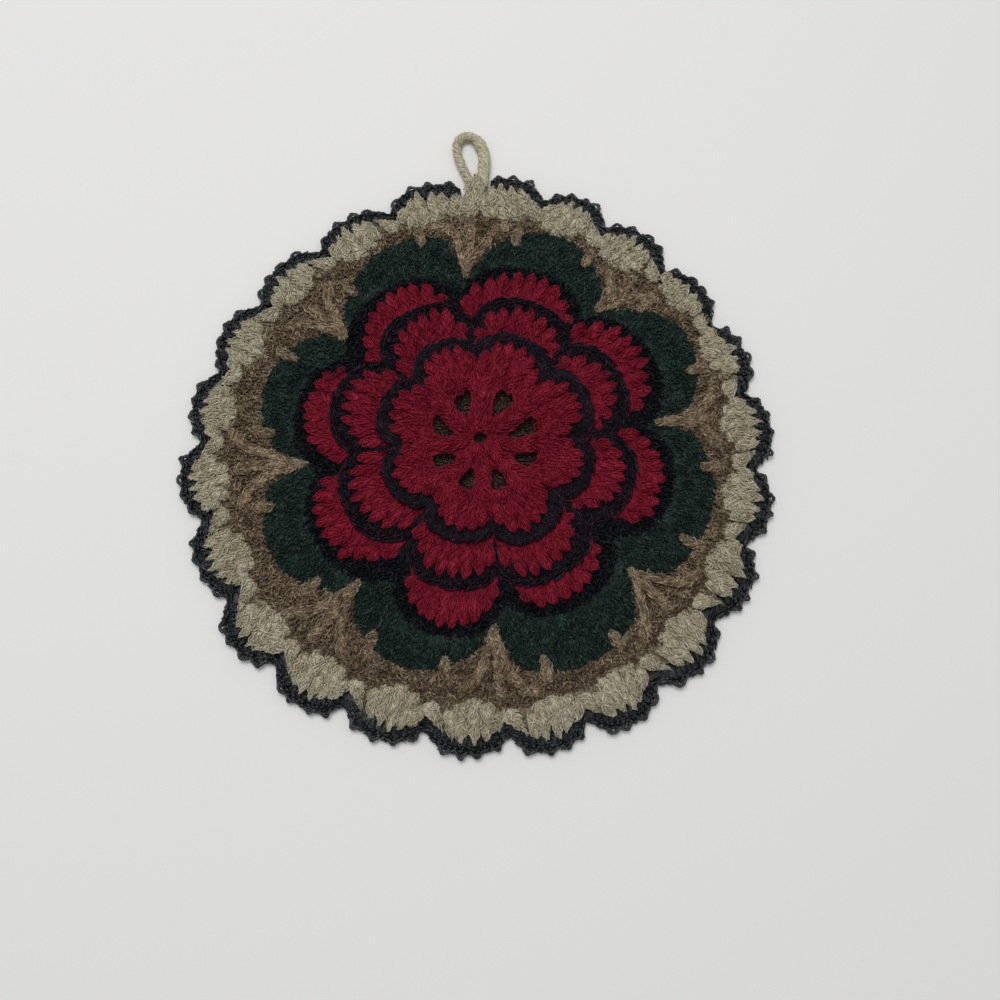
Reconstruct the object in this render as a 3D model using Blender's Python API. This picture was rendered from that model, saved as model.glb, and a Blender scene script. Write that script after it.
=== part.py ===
"""Crocheted rose pot holder, lying face up.

Frame: metres, +Z up. The origin is on the underside, below the hub of the flower, and +Y runs
towards the hanging loop. Every round is drawn in polar places about the hub: a bearing in degrees,
clockwise from +Y as seen from above, and a radius in millimetres.

Layers, from below: a backing disc; a green leaf round, with a brown round of spike stitches worked
into its notches; two rings of red petals, each with a dark edging; the open-centred red flower and
its edging. A shell border, its thin dark picot edging and the hanging loop go round the outside.
"""

import bisect
import math

import bmesh
import bpy

MM = 0.001
GAP = 0.3  # mm between neighbouring pieces

# Heights, in mm above the surface that the pot holder lies on.
BACKING_TOP = 3.8
BACKING_RIM = ((0.8, 0.0), (0.0, 1.0), (0.0, 2.8), (0.8, BACKING_TOP))  # inset and height of its corners
ROUND_UNDERSIDE = BACKING_TOP + GAP  # every round is worked onto the face of the backing
ROUND_ROOT_TOP = 6.0  # a round is thin where the petals of the next round cover it
PETAL_UNDERSIDE = ROUND_ROOT_TOP + GAP
FLOWER_TOP = 9.7
OUTER_PETAL_TOP = 9.2
LEAF_TOP = 7.2
LEAF_RIM_TOP = 6.4
SPIKE_TOP = 7.4
SPIKE_TIP_TOP, SPIKE_SHOULDER_TOP, SPIKE_SEAM_TOP = 5.2, 5.6, 4.8
HUB_TOP, SPOKE_TOP = 7.7, 8.3
SHELL_PUFF_TOP = 5.0
SHELL_SEAM_TOP = 3.7
SHELL_ROOT_TOP = 3.4
SHELL_NUB_TOP = 4.2
PICOT_TOP = 3.2

# Each row of a tier is one petal: the bearing where it starts, and how far its red edge reaches.
# It ends where the next row starts. Columns: start in degrees, reach in mm.
FLOWER_PETALS = (
    (-2.5, 38), (45, 39.5), (90, 40), (127.5, 40.5), (172, 37.5), (219, 36), (264, 35.5), (312, 37.5),
)
MIDDLE_PETALS = (
    (-5, 54), (43.5, 55), (88.5, 57), (129, 57.5), (173, 55.5), (217.5, 53), (261, 53), (304.5, 54),
)
OUTER_PETALS = (
    (-9, 69), (38, 71), (84.5, 71), (126.5, 69.5), (170.5, 72), (212.5, 69.5), (259, 67.5), (303, 69),
)
FLOWER_CLEFT, MIDDLE_CLEFT, OUTER_CLEFT = 31.0, 45.0, 57.0  # radius of the clefts between petals
PETAL_ROUNDNESS = 3.0
PETAL_STEPS = 7  # outline points in each petal

# Radii where each tier begins, and how its face rises out from under the tier above.
HUB_HOLE = 1.9
FLOWER_FLAT_END, FLOWER_LIFT_END = 22.0, 29.5
MIDDLE_INNER, OUTER_INNER, LEAF_INNER = 31.0, 46.2, 62.9
PETAL_EDGING_WIDTH = 3.2
RIM_BEVEL = 0.9
OVERHANG = 1.2  # how far a tier's low, covered face runs on past the edging above it
PETAL_LIFT, LEAF_LIFT = 4.0, 2.4  # width of the rise from the covered face to the full face
LEAST_LIFT = 0.35  # share of the full lift that a petal keeps at its narrow ends

# The open gaps between the flower's eight spokes, one row each. Columns: bearing and radius of the
# inner end, the same of the outer end, and half the width in degrees.
HUB_GAPS = (
    (29, 10, 31, 20.5, 11), (86, 10, 75, 22, 10.5), (119, 14.5, 113, 22, 9.5), (156, 13, 160, 21.5, 9),
    (194, 12, 196, 20.8, 9), (232, 11, 239, 19.5, 10.5), (277, 9.8, 290, 18.8, 11), (330, 10, 338, 19, 11.5),
)
# A gap's outline, as shares of its length and of its half width.
GAP_OUTLINE = ((0.0, 0.0), (0.15, 0.5), (0.45, 1.0), (0.8, 1.0), (1.0, 0.6))
CUTTER_MARGIN = 2.0

# The leaf round's edge, one row a leaf. It runs straight from a long spike's tip to a shoulder,
# arches over the crown to the other shoulder, and runs straight to the next spike's tip.
# Columns: bearing and radius of the spike's tip, the first shoulder, the crown, the last shoulder.
LEAVES = (
    (-5, 66, 3, 79.5, 20, 90, 38, 77),
    (40.7, 68, 46, 76, 63, 90, 81, 80),
    (84.7, 66, 87.8, 79.5, 109, 90, 126.5, 86),
    (132.7, 73, 140, 87, 155, 92.3, 171, 85.5),
    (175.7, 70, 179.5, 77.5, 198, 89, 214.5, 80.5),
    (218.5, 69, 222.5, 78.5, 240, 88, 257.5, 78.5),
    (261.2, 65, 267.5, 78, 286, 85, 304.5, 74.5),
    (308, 65, 313, 72.5, 338, 88, 351, 84),
)
# The short spikes, which notch the leaves: bearing and radius of each tip.
SHORT_SPIKES = (
    (9.5, 81), (29.5, 81.5), (49.5, 80), (71.3, 83), (97.5, 82.5), (117.3, 82), (147, 86), (164.3, 84),
    (188.2, 82), (207, 81), (227.2, 78.5), (251.3, 80), (271.5, 77), (294.3, 77), (320.2, 76), (343.8, 83),
)
NOTCH_HALF_WIDTH = 2.2  # degrees
LEAF_STEPS = 9  # outline points over each leaf, before the notches
LEAF_ROUNDNESS = 2.0
LEAF_MARGIN = 2.6  # the least width of the brown round outside a leaf
SPIKE_LENGTH = 18.0  # the brown round's ridge is full where the round is at least this wide
SPIKE_RIDGE = (0.12, 0.45, 0.75)  # where the ridge starts, ends and meets the shoulder, across the round

# The shell border, one row for each of its 22 shells.
# Columns: bearing and radius of its crown, picots left out, and radius of its foot.
SHELLS = (
    (7, 113.5, 91), (21, 111, 89.5), (37, 109, 87), (54, 108, 91), (70, 109, 90.5),
    (88, 110.5, 90), (104, 111, 91), (120, 113.5, 93), (137, 116.5, 95), (153, 117.5, 96.5),
    (166.5, 116.5, 97), (182.5, 115, 95), (198, 115, 94), (214, 117, 95.5), (228.5, 117.5, 96),
    (245, 114, 92.5), (262, 113.5, 93), (278, 111, 92), (294, 110.5, 90), (312, 109, 89),
    (330, 109, 87.5), (348, 112, 90.5),
)
FOOT_EVENED = 1.0  # the round feet are evened out to a smooth edge, this much outside them
SHELL_CLEFT_DEPTH = 7.2
SHELL_ROUNDNESS = 2.2
NUB_START = 0.8  # where a shell's puff ends and the nub in the cleft starts, as a share of half a shell
SHELL_RIM = (0.3, 0.65, 0.85)  # heights of the outer side's corners, as shares of the face's height
SHELL_FACE = (0.25, 0.65)  # where a shell's flat face starts and ends, as shares of its width
SHELL_STEPS = 6  # outline points in each shell
PICOT_EDGING_WIDTH = 4.2
PICOT_REACH = 1.2
LOOP_BEARING = -1.7  # the picot edging stops here, on both sides of the loop
LOOP_HALF_GAP = 3.5  # degrees

# The hanging loop: a closed teardrop of two-strand twisted cord, lying flat. Its route's points,
# in mm, go from the neck up the right side, over the top and down the left.
LOOP_ROUTE = (
    (-2.6, 106.6), (-0.9, 107.3), (0.1, 109.4), (0.6, 113), (1.0, 118), (0.9, 123), (-0.6, 127.8),
    (-3.0, 130.8), (-5.9, 132), (-8.8, 130.8), (-10.3, 127.8), (-10.2, 124.3), (-8.9, 119.5),
    (-7.2, 115), (-5.5, 109.6), (-4.4, 107.4),
)
LOOP_CORD_RADIUS = 2.1
LOOP_CORD_WAIST = 0.17  # how far the groove between the two strands cuts in, as a share
LOOP_TWISTS = 9
LOOP_STEPS = 54
LOOP_SIDES = 8

# Colours are linear red, green and blue.
RED = (0.235, 0.012, 0.027)
DARK = (0.012, 0.018, 0.022)
GREEN = (0.012, 0.030, 0.024)
BROWN = (0.155, 0.105, 0.066)
OLIVE_BROWN = (0.095, 0.078, 0.050)
BEIGE = (0.335, 0.300, 0.215)
NAVY = (0.011, 0.013, 0.021)


def yarn_material(name, colour, roughness=0.95):
    material = bpy.data.materials.new(name)
    material.use_nodes = True
    shader = material.node_tree.nodes["Principled BSDF"]
    shader.inputs["Base Color"].default_value = (*colour, 1.0)
    shader.inputs["Roughness"].default_value = roughness
    shader.inputs["Metallic"].default_value = 0.0
    material.diffuse_color = (*colour, 1.0)
    return material


def place(bearing, radius, height):
    """A point from its bearing in degrees, and its radius and height in mm."""
    angle = math.radians(bearing)
    return (radius * math.sin(angle) * MM, radius * math.cos(angle) * MM, height * MM)


def solid(name, sections, material, closed=True):
    """One closed solid from equal-length cross-sections; closed joins the last to the first."""
    mesh = bmesh.new()
    loops = [[mesh.verts.new(point) for point in section] for section in sections]
    pairs = list(zip(loops, loops[1:]))
    if closed:
        pairs.append((loops[-1], loops[0]))
    else:
        mesh.faces.new(loops[0])
        mesh.faces.new(loops[-1])
    for near, far in pairs:
        for i in range(len(near)):
            j = (i + 1) % len(near)
            mesh.faces.new((near[i], near[j], far[j], far[i]))
    bmesh.ops.recalc_face_normals(mesh, faces=mesh.faces)
    data = bpy.data.meshes.new(name)
    mesh.to_mesh(data)
    mesh.free()
    data.shade_smooth()
    data.set_sharp_from_angle(angle=math.radians(50))
    data.materials.append(material)
    piece = bpy.data.objects.new(name, data)
    bpy.context.scene.collection.objects.link(piece)
    return piece


def bulge(across, cleft_before, cleft_after, crown, roundness):
    """Radius of a lobe's edge; across runs from -1 at its start to 1 at its end."""
    cleft = cleft_before if across < 0 else cleft_after
    return crown - (crown - cleft) * abs(across) ** roundness


def lobed_edge(lobes, roundness, steps_of):
    """[(bearing, radius)] round an edge of lobes, each (start bearing, cleft radius, crown radius)."""
    edge = []
    for i, (start, cleft, crown) in enumerate(lobes):
        after = lobes[(i + 1) % len(lobes)]
        span = (after[0] - start) % 360
        steps = steps_of(i)
        for k in range(steps):
            across = 2 * k / steps - 1
            radius = bulge(across, cleft, after[1], crown, roundness)
            edge.append((start + span * k / steps, radius))
    return edge


def petal_edge(petals, cleft):
    lobes = [(start, cleft, reach) for start, reach in petals]
    return lobed_edge(lobes, PETAL_ROUNDNESS, lambda i: PETAL_STEPS)


def covered_by(petals, cleft, bearing):
    """Radius out to which a tier is covered on this bearing by the petals and edging above it."""
    turn = (bearing - petals[0][0]) % 360
    starts = [(row[0] - petals[0][0]) % 360 for row in petals] + [360]
    i = bisect.bisect_right(starts, turn) - 1
    across = 2 * (turn - starts[i]) / (starts[i + 1] - starts[i]) - 1
    edge = bulge(across, cleft, cleft, petals[i][1], PETAL_ROUNDNESS)
    return edge + GAP + PETAL_EDGING_WIDTH + OVERHANG


def leaf_arch(leaf, bearing):
    """Radius of a leaf's edge between its shoulders."""
    _, _, first, first_mm, crown, crown_mm, last, last_mm = leaf
    across = (bearing - crown) / (crown - first if bearing < crown else last - crown)
    radius = bulge(across, first_mm, last_mm, crown_mm, LEAF_ROUNDNESS)
    return min(radius, shell_root(bearing) - LEAF_MARGIN)


def leaf_edge():
    """[(bearing, radius)] round the leaves, with a notch for each short spike."""
    edge = []
    for leaf in LEAVES:
        edge.append(leaf[:2])
        first, last = leaf[2], leaf[6]
        notches = [spike for spike in SHORT_SPIKES if first < spike[0] < last]
        sides = [bearing + way * NOTCH_HALF_WIDTH for bearing, _ in notches for way in (-1, 1)]
        steps = [first + (last - first) * k / (LEAF_STEPS - 1) for k in range(LEAF_STEPS)]
        clear = [b for b in steps if all(abs(b - spike[0]) > 1.5 * NOTCH_HALF_WIDTH for spike in notches)]
        edge.extend(sorted([(b, leaf_arch(leaf, b)) for b in clear + sides] + notches))
    return edge


def beside_edge(edge, distance):
    """The same edge moved outwards in its own plane, so that the space between has an even width."""
    spots = [place(bearing, radius, 0)[:2] for bearing, radius in edge]
    moved = []
    for before, (x, y), after in zip(spots[-1:] + spots, spots, spots[1:] + spots[:1]):
        turns = [math.atan2(b - a[1], c - a[0]) for a, b, c in ((before, y, x), ((x, y), after[1], after[0]))]
        middle = math.atan2(sum(map(math.sin, turns)), sum(map(math.cos, turns)))
        reach = distance * MM / math.cos(turns[1] - middle)
        x, y = x - reach * math.sin(middle), y + reach * math.cos(middle)
        moved.append((math.degrees(math.atan2(x, y)), math.hypot(x, y) / MM))
    return moved


def shell_cleft_bearings():
    """The bearing halfway between each shell's crown and the one before it."""
    crowns = [row[0] for row in SHELLS]
    before = [crowns[-1] - 360] + crowns[:-1]
    return [(a + b) / 2 for a, b in zip(before, crowns)]


def shell_root(bearing):
    """Radius of the round where the shells are worked in, read between the two nearest feet."""
    feet = [(row[0], row[2]) for row in SHELLS]
    feet = [(feet[-1][0] - 360, feet[-1][1])] + feet + [(feet[0][0] + 360, feet[0][1])]
    bearing %= 360
    i = bisect.bisect_right([foot[0] for foot in feet], bearing) - 1
    (before, low), (after, high) = feet[i], feet[i + 1]
    share = (bearing - before) / (after - before)
    smooth = share * share * (3 - 2 * share)
    return low + (high - low) * smooth + FOOT_EVENED


def shell_rows():
    """[(bearing, across, edge radius)] along the edging's outer side, SHELL_STEPS to a shell."""
    clefts = shell_cleft_bearings()
    rows = []
    for i, (_, crown, _) in enumerate(SHELLS):
        start = clefts[i]
        span = (clefts[(i + 1) % len(clefts)] - start) % 360
        before = (SHELLS[i - 1][1] + crown) / 2 - SHELL_CLEFT_DEPTH
        after = (SHELLS[(i + 1) % len(SHELLS)][1] + crown) / 2 - SHELL_CLEFT_DEPTH
        for k in range(SHELL_STEPS):
            across = 2 * k / SHELL_STEPS - 1
            radius = bulge(across, before, after, crown, SHELL_ROUNDNESS)
            rows.append((start + span * k / SHELL_STEPS, across, radius))
    return rows


def backing_disc(material):
    """The plain disc behind the flower. It shows through the gaps between the spokes."""
    bearings = [row[0] for row in shell_rows()[::2]]
    rings = [
        [place(b, shell_root(b) - GAP - inset, height) for b in bearings] for inset, height in BACKING_RIM
    ]
    return solid("backing_disc", rings, material, closed=False)


def rim(bearing, radius, underside, top):
    """The bevelled outer side of a flat round, from its underside to its face."""
    third = (top - underside) / 3
    return [
        place(bearing, radius - RIM_BEVEL, underside),
        place(bearing, radius, underside + third),
        place(bearing, radius, top - third),
        place(bearing, radius - RIM_BEVEL, top),
    ]


def petal_ring(name, edge, inner, above, top, material):
    """A ring of petals: thin and low where the tier above covers it, then lifted and full."""
    sections = []
    for bearing, radius in edge:
        covered = covered_by(*above, bearing)
        widest = radius - RIM_BEVEL - GAP
        crease = min(covered + GAP, widest - 2 * GAP)
        raised = min(covered + PETAL_LIFT, widest - GAP)
        rise = (raised - crease) / PETAL_LIFT
        full = ROUND_ROOT_TOP + (top - ROUND_ROOT_TOP) * max(LEAST_LIFT, min(1.0, rise))
        sections.append(
            [
                place(bearing, inner, ROUND_UNDERSIDE),
                place(bearing, crease, ROUND_UNDERSIDE),
                place(bearing, crease + GAP, PETAL_UNDERSIDE),
                *rim(bearing, radius, PETAL_UNDERSIDE, full),
                place(bearing, raised, full),
                place(bearing, crease - 2 * GAP, ROUND_ROOT_TOP),
                place(bearing, inner, ROUND_ROOT_TOP),
            ]
        )
    return solid(name, sections, material)


def petal_edging(name, edge, top, material):
    """The dark round worked along a tier's edge: a rounded strip just outside it."""
    sections = []
    for bearing, radius in edge:
        near, far = radius + GAP, radius + GAP + PETAL_EDGING_WIDTH
        middle = (PETAL_UNDERSIDE + top) / 2
        sections.append(
            [
                place(bearing, near, PETAL_UNDERSIDE),
                place(bearing, far - RIM_BEVEL, PETAL_UNDERSIDE),
                place(bearing, far, middle),
                place(bearing, far - RIM_BEVEL, top),
                place(bearing, near, top),
            ]
        )
    return solid(name, sections, material)


def gap_cutter(near, near_mm, far, far_mm, half_width):
    """A block the shape of the gap between two spokes."""
    outline = []
    for way in (-1, 1):
        side = [
            (near + (far - near) * out + way * half_width * wide, near_mm + (far_mm - near_mm) * out)
            for out, wide in GAP_OUTLINE
        ]
        outline += side if way < 0 else side[:0:-1]
    below, above = ROUND_UNDERSIDE - CUTTER_MARGIN, FLOWER_TOP + CUTTER_MARGIN
    sections = [[place(b, r, height) for b, r in outline] for height in (below, above)]
    cutter = solid("gap_cutter", sections, None, closed=False)
    cutter.hide_render = True
    cutter.display_type = "WIRE"
    return cutter


def flower(edge, material):
    """The top flower: a flat hub and spokes, petals lifted over the tier below, and eight gaps."""
    sections = []
    for bearing, radius in edge:
        raised = min(FLOWER_LIFT_END, radius - RIM_BEVEL - GAP)
        sections.append(
            [
                place(bearing, HUB_HOLE, ROUND_UNDERSIDE),
                place(bearing, FLOWER_FLAT_END, ROUND_UNDERSIDE),
                place(bearing, raised, PETAL_UNDERSIDE),
                *rim(bearing, radius, PETAL_UNDERSIDE, FLOWER_TOP),
                place(bearing, raised - 1, FLOWER_TOP),
                place(bearing, FLOWER_FLAT_END - 2, SPOKE_TOP),
                place(bearing, HUB_HOLE, HUB_TOP),
            ]
        )
    piece = solid("open_flower", sections, material)
    for row in HUB_GAPS:
        cut = piece.modifiers.new("hub gap", "BOOLEAN")
        cut.operation = "DIFFERENCE"
        cut.solver = "EXACT"
        cut.object = gap_cutter(*row)
    return piece


def leaf_round(edge, above, material):
    """The green round: eight leaves, parted by the long spikes and notched by the short ones."""
    sections = []
    for bearing, radius in edge:
        covered = covered_by(*above, bearing)
        shown = min(covered + LEAF_LIFT, radius - 1.5 * RIM_BEVEL)
        hidden = min(covered, shown - RIM_BEVEL)
        top = ROUND_ROOT_TOP if shown < covered else LEAF_TOP
        edge_top = min(top, LEAF_RIM_TOP)
        sections.append(
            [
                place(bearing, LEAF_INNER, ROUND_UNDERSIDE),
                place(bearing, radius - RIM_BEVEL / 2, ROUND_UNDERSIDE),
                place(bearing, radius, (ROUND_UNDERSIDE + edge_top) / 2),
                place(bearing, radius - RIM_BEVEL, edge_top),
                place(bearing, (shown + radius - RIM_BEVEL) / 2, (top + edge_top) / 2),
                place(bearing, shown, top),
                place(bearing, hidden, ROUND_ROOT_TOP),
                place(bearing, LEAF_INNER, ROUND_ROOT_TOP),
            ]
        )
    return solid("leaf_round", sections, material)


def spike_round(edge, material):
    """The brown round: a band up to the shells, with a raised finger in each notch of the leaves."""
    sections = []
    for bearing, inner in beside_edge(edge, GAP):
        outer = shell_root(bearing) - GAP
        width = outer - inner
        ridge = ROUND_ROOT_TOP + (SPIKE_TOP - ROUND_ROOT_TOP) * min(1.0, width / SPIKE_LENGTH)
        near, far, shoulder = (inner + width * share for share in SPIKE_RIDGE)
        sections.append(
            [
                place(bearing, inner, ROUND_UNDERSIDE),
                place(bearing, outer, ROUND_UNDERSIDE),
                place(bearing, outer, SPIKE_SEAM_TOP),
                place(bearing, shoulder, SPIKE_SHOULDER_TOP),
                place(bearing, far, ridge),
                place(bearing, near, ridge),
                place(bearing, inner, SPIKE_TIP_TOP),
            ]
        )
    return solid("spike_round", sections, material)


def shell_top(across):
    """Height of the border's face: puffed in the middle of a shell, with a nub in each cleft."""
    side = abs(across)
    if side > NUB_START:
        return SHELL_SEAM_TOP + (SHELL_NUB_TOP - SHELL_SEAM_TOP) * (side - NUB_START) / (1 - NUB_START)
    return SHELL_SEAM_TOP + (SHELL_PUFF_TOP - SHELL_SEAM_TOP) * (1 - (side / NUB_START) ** 2)


def shell_border(material):
    sections = []
    for bearing, across, radius in shell_rows():
        root, outer = shell_root(bearing), radius - PICOT_EDGING_WIDTH - GAP
        width, top = outer - root, shell_top(across)
        low, middle, high = (top * share for share in SHELL_RIM)
        near, far = (root + width * share for share in SHELL_FACE)
        sections.append(
            [
                place(bearing, root, 0),
                place(bearing, outer - RIM_BEVEL, 0),
                place(bearing, outer, low),
                place(bearing, outer, middle),
                place(bearing, outer - RIM_BEVEL, high),
                place(bearing, far, top),
                place(bearing, near, top),
                place(bearing, root, SHELL_ROOT_TOP),
            ]
        )
    return solid("shell_border", sections, material)


def chord_middle(first, second):
    """The polar place halfway along the straight line between two (bearing, radius) places."""
    x1, y1, _ = place(*first, 0)
    x2, y2, _ = place(*second, 0)
    turn = (second[0] - first[0]) % 360
    radius = math.hypot(x1 + x2, y1 + y2) / 2 / MM
    swing = math.atan2(second[1] * math.sin(math.radians(turn)),
                       first[1] + second[1] * math.cos(math.radians(turn)))
    return first[0] + math.degrees(swing), radius


def picot_edging(material):
    """The thin dark edging: an open strip round the shells, with a picot between outline points."""
    base = [(bearing, radius) for bearing, _, radius in shell_rows()]
    fine = []
    for first, second in zip(base, base[1:] + base[:1]):
        inner_first = (first[0], first[1] - PICOT_EDGING_WIDTH)
        inner_second = (second[0], second[1] - PICOT_EDGING_WIDTH)
        fine.append((first[0], inner_first[1], first[1] - PICOT_REACH / 3))
        bearing, inner = chord_middle(inner_first, inner_second)
        fine.append((bearing, inner, (first[1] + second[1]) / 2 + PICOT_REACH))
    turn_of = [((row[0] - LOOP_BEARING) % 360, row) for row in fine]
    kept = sorted((turn, row) for turn, row in turn_of if LOOP_HALF_GAP < turn < 360 - LOOP_HALF_GAP)
    sections = []
    for _, (bearing, inner, outer) in kept:
        sections.append(
            [
                place(bearing, inner, 0),
                place(bearing, outer - RIM_BEVEL, 0),
                place(bearing, outer, PICOT_TOP / 2),
                place(bearing, outer - RIM_BEVEL, PICOT_TOP),
                place(bearing, inner, PICOT_TOP),
            ]
        )
    return solid("picot_edging", sections, material, closed=False)


def smooth_closed(points, steps):
    """Points spaced evenly by share along a closed Catmull-Rom curve, each with its direction."""
    count = len(points)
    found = []
    for k in range(steps):
        at = k * count / steps
        i, t = int(at), at - int(at)
        p0, p1, p2, p3 = (points[(i + o) % count] for o in (-1, 0, 1, 2))
        spot, heading = [], []
        for a, b, c, d in zip(p0, p1, p2, p3):
            m1, m2 = (c - a) / 2, (d - b) / 2
            spot.append(b + m1 * t + (3 * (c - b) - 2 * m1 - m2) * t**2 + (2 * (b - c) + m1 + m2) * t**3)
            heading.append(m1 + 2 * (3 * (c - b) - 2 * m1 - m2) * t + 3 * (2 * (b - c) + m1 + m2) * t**2)
        size = math.hypot(*heading)
        found.append((spot, (heading[0] / size, heading[1] / size)))
    return found


def hanging_loop(material):
    """The loop as a solid of twisted cord: its section has two lobes, which turn along it."""
    sections = []
    height = LOOP_CORD_RADIUS + GAP / 2
    for k, (spot, heading) in enumerate(smooth_closed(LOOP_ROUTE, LOOP_STEPS)):
        side = (heading[1], -heading[0])
        section = []
        for n in range(LOOP_SIDES):
            angle = 2 * math.pi * n / LOOP_SIDES
            twist = 2 * math.pi * LOOP_TWISTS * k / LOOP_STEPS
            radius = LOOP_CORD_RADIUS * (1 - LOOP_CORD_WAIST * (1 - math.cos(2 * (angle - twist))) / 2)
            out, up = radius * math.cos(angle), radius * math.sin(angle)
            section.append(
                ((spot[0] + side[0] * out) * MM, (spot[1] + side[1] * out) * MM, (height + up) * MM)
            )
        sections.append(section)
    return solid("hanging_loop", sections, material)


def main():
    for thing in list(bpy.data.objects):
        bpy.data.objects.remove(thing)
    red = yarn_material("red_yarn", RED)
    dark = yarn_material("dark_yarn", DARK)
    green = yarn_material("green_yarn", GREEN)
    brown = yarn_material("brown_yarn", BROWN)
    beige = yarn_material("beige_yarn", BEIGE)
    flower_tier = (FLOWER_PETALS, FLOWER_CLEFT)
    middle_tier = (MIDDLE_PETALS, MIDDLE_CLEFT)
    outer_tier = (OUTER_PETALS, OUTER_CLEFT)
    flower_edge = petal_edge(*flower_tier)
    middle_edge = petal_edge(*middle_tier)
    outer_edge = petal_edge(*outer_tier)
    leaves = leaf_edge()
    backing_disc(yarn_material("backing_yarn", OLIVE_BROWN))
    leaf_round(leaves, outer_tier, green)
    spike_round(leaves, brown)
    petal_ring("outer_petals", outer_edge, OUTER_INNER, middle_tier, OUTER_PETAL_TOP, red)
    petal_edging("outer_petal_edging", outer_edge, OUTER_PETAL_TOP - GAP, dark)
    petal_ring("middle_petals", middle_edge, MIDDLE_INNER, flower_tier, FLOWER_TOP, red)
    petal_edging("middle_petal_edging", middle_edge, FLOWER_TOP - GAP, dark)
    flower(flower_edge, red)
    petal_edging("open_flower_edging", flower_edge, FLOWER_TOP - GAP, dark)
    shell_border(beige)
    picot_edging(yarn_material("navy_thread", NAVY, roughness=0.6))
    hanging_loop(beige)


main()
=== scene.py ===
"""The looks of the crocheted rose pot holder: every stitch is laid as strands of spun yarn.

All places are in millimetres until a mesh is made, in the frame of the solids: the origin is on the
underside, below the hub of the flower, and +Y runs towards the hanging loop. A bearing is in
degrees, clockwise from +Y as seen from above. A tone is how much lighter a strand is than its
yarn's middle colour. Besides random differences of dye, tones hold painted shade in grooves and
crevices and painted highlights on raised tips. One generator makes all the random draws, so their
order sets the shapes.
"""

import math

import bpy
import numpy as np
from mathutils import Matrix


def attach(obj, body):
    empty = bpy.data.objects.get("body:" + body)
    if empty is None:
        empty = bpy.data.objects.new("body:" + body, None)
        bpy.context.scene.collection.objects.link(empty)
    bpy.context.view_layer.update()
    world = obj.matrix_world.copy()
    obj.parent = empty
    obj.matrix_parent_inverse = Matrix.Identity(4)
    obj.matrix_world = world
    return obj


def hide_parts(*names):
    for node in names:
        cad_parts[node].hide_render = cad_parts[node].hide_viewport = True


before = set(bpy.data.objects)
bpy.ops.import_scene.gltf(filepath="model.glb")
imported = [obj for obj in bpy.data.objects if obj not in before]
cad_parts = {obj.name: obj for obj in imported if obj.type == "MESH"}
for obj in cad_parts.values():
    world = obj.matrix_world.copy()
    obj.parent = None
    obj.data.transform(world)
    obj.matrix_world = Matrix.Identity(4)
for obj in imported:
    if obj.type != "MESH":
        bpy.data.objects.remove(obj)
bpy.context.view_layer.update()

MM = 0.001
draw = np.random.default_rng(83)

# ------------ layout

# Each tier of petals: its dark round's outer edge, one row a petal.
# Columns: bearing of the cleft where the petal starts, radius of that cleft, radius of the crown.
FLOWER_BAND = (
    (-2.5, 37, 43.8), (45, 39.5, 44.5), (90.5, 39, 44.3), (128, 39, 44.5),
    (173, 37, 41), (217, 33.5, 39.4), (264, 32.5, 40.2), (313, 34.5, 42.3),
)
MIDDLE_BAND = (
    (-4, 48, 59), (42.5, 52, 59.3), (88.5, 50, 60.3), (129, 52.5, 60.5),
    (172.5, 53, 58.3), (214.5, 47, 56.8), (263, 48, 58), (309, 48, 58.7),
)
OUTER_BAND = (
    (-8, 61, 73.2), (38.5, 63, 74.6), (86, 62, 74.8), (127.5, 62, 73),
    (171.5, 63, 75.6), (210.5, 62, 72.5), (258, 61, 71.5), (302.5, 60, 72.6),
)
BAND_ROUNDNESS = 3.0

# The red of each petal, inside its dark round.
# Columns: bearing and radius where the teeth start, of the crown, and where the teeth end.
FLOWER_TEETH = (
    (-0.5, 31, 19, 40, 43, 32), (49, 33, 67, 41, 88, 32), (92.5, 33, 109, 40.2, 126.5, 31.5),
    (130, 32, 151, 40.6, 171, 33), (175, 32.5, 189, 37, 215, 29), (219, 28.5, 241, 35.5, 262, 27.5),
    (266, 28, 293, 36.3, 311, 30), (315, 29, 336, 38.7, 356, 32),
)
MIDDLE_TEETH = (
    (-4, 41, 20, 55, 41, 45), (44, 43, 64, 55.5, 86.5, 42.5), (91, 46, 108, 56, 128, 43),
    (130.5, 44, 156, 56.5, 171, 47), (173, 47, 190, 54.5, 213.5, 43.5), (217, 44, 243, 53, 262, 43),
    (264.5, 42, 290, 54.5, 308, 42), (311, 42, 338, 55, 353, 43),
)
OUTER_TEETH = (
    (-8, 56, 19, 69.5, 37, 57), (39, 57, 57, 71, 84.5, 56), (86.5, 57, 109, 71, 124, 58),
    (130, 56, 154, 69, 170.5, 57), (173, 58, 190, 72, 206, 60), (214.5, 55, 238, 69, 254.5, 59),
    (260, 54, 282, 67.5, 298, 59), (305.5, 52, 332, 69, 347, 58),
)
TOOTH_ROUNDNESS = 2.3

# The open gaps between the spokes.
# Columns: bearing and radius of the inner end, the same of the outer end, half the width in degrees.
HUB_GAPS = (
    (29, 10, 31, 20.5, 11), (86, 10, 75, 22, 10.5), (119, 14.5, 113, 22, 9.5), (156, 13, 160, 21.5, 9),
    (194, 12, 196, 20.8, 9), (232, 11, 239, 19.5, 10.5), (277, 9.8, 290, 18.8, 11), (330, 10, 338, 19, 11.5),
)

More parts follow.
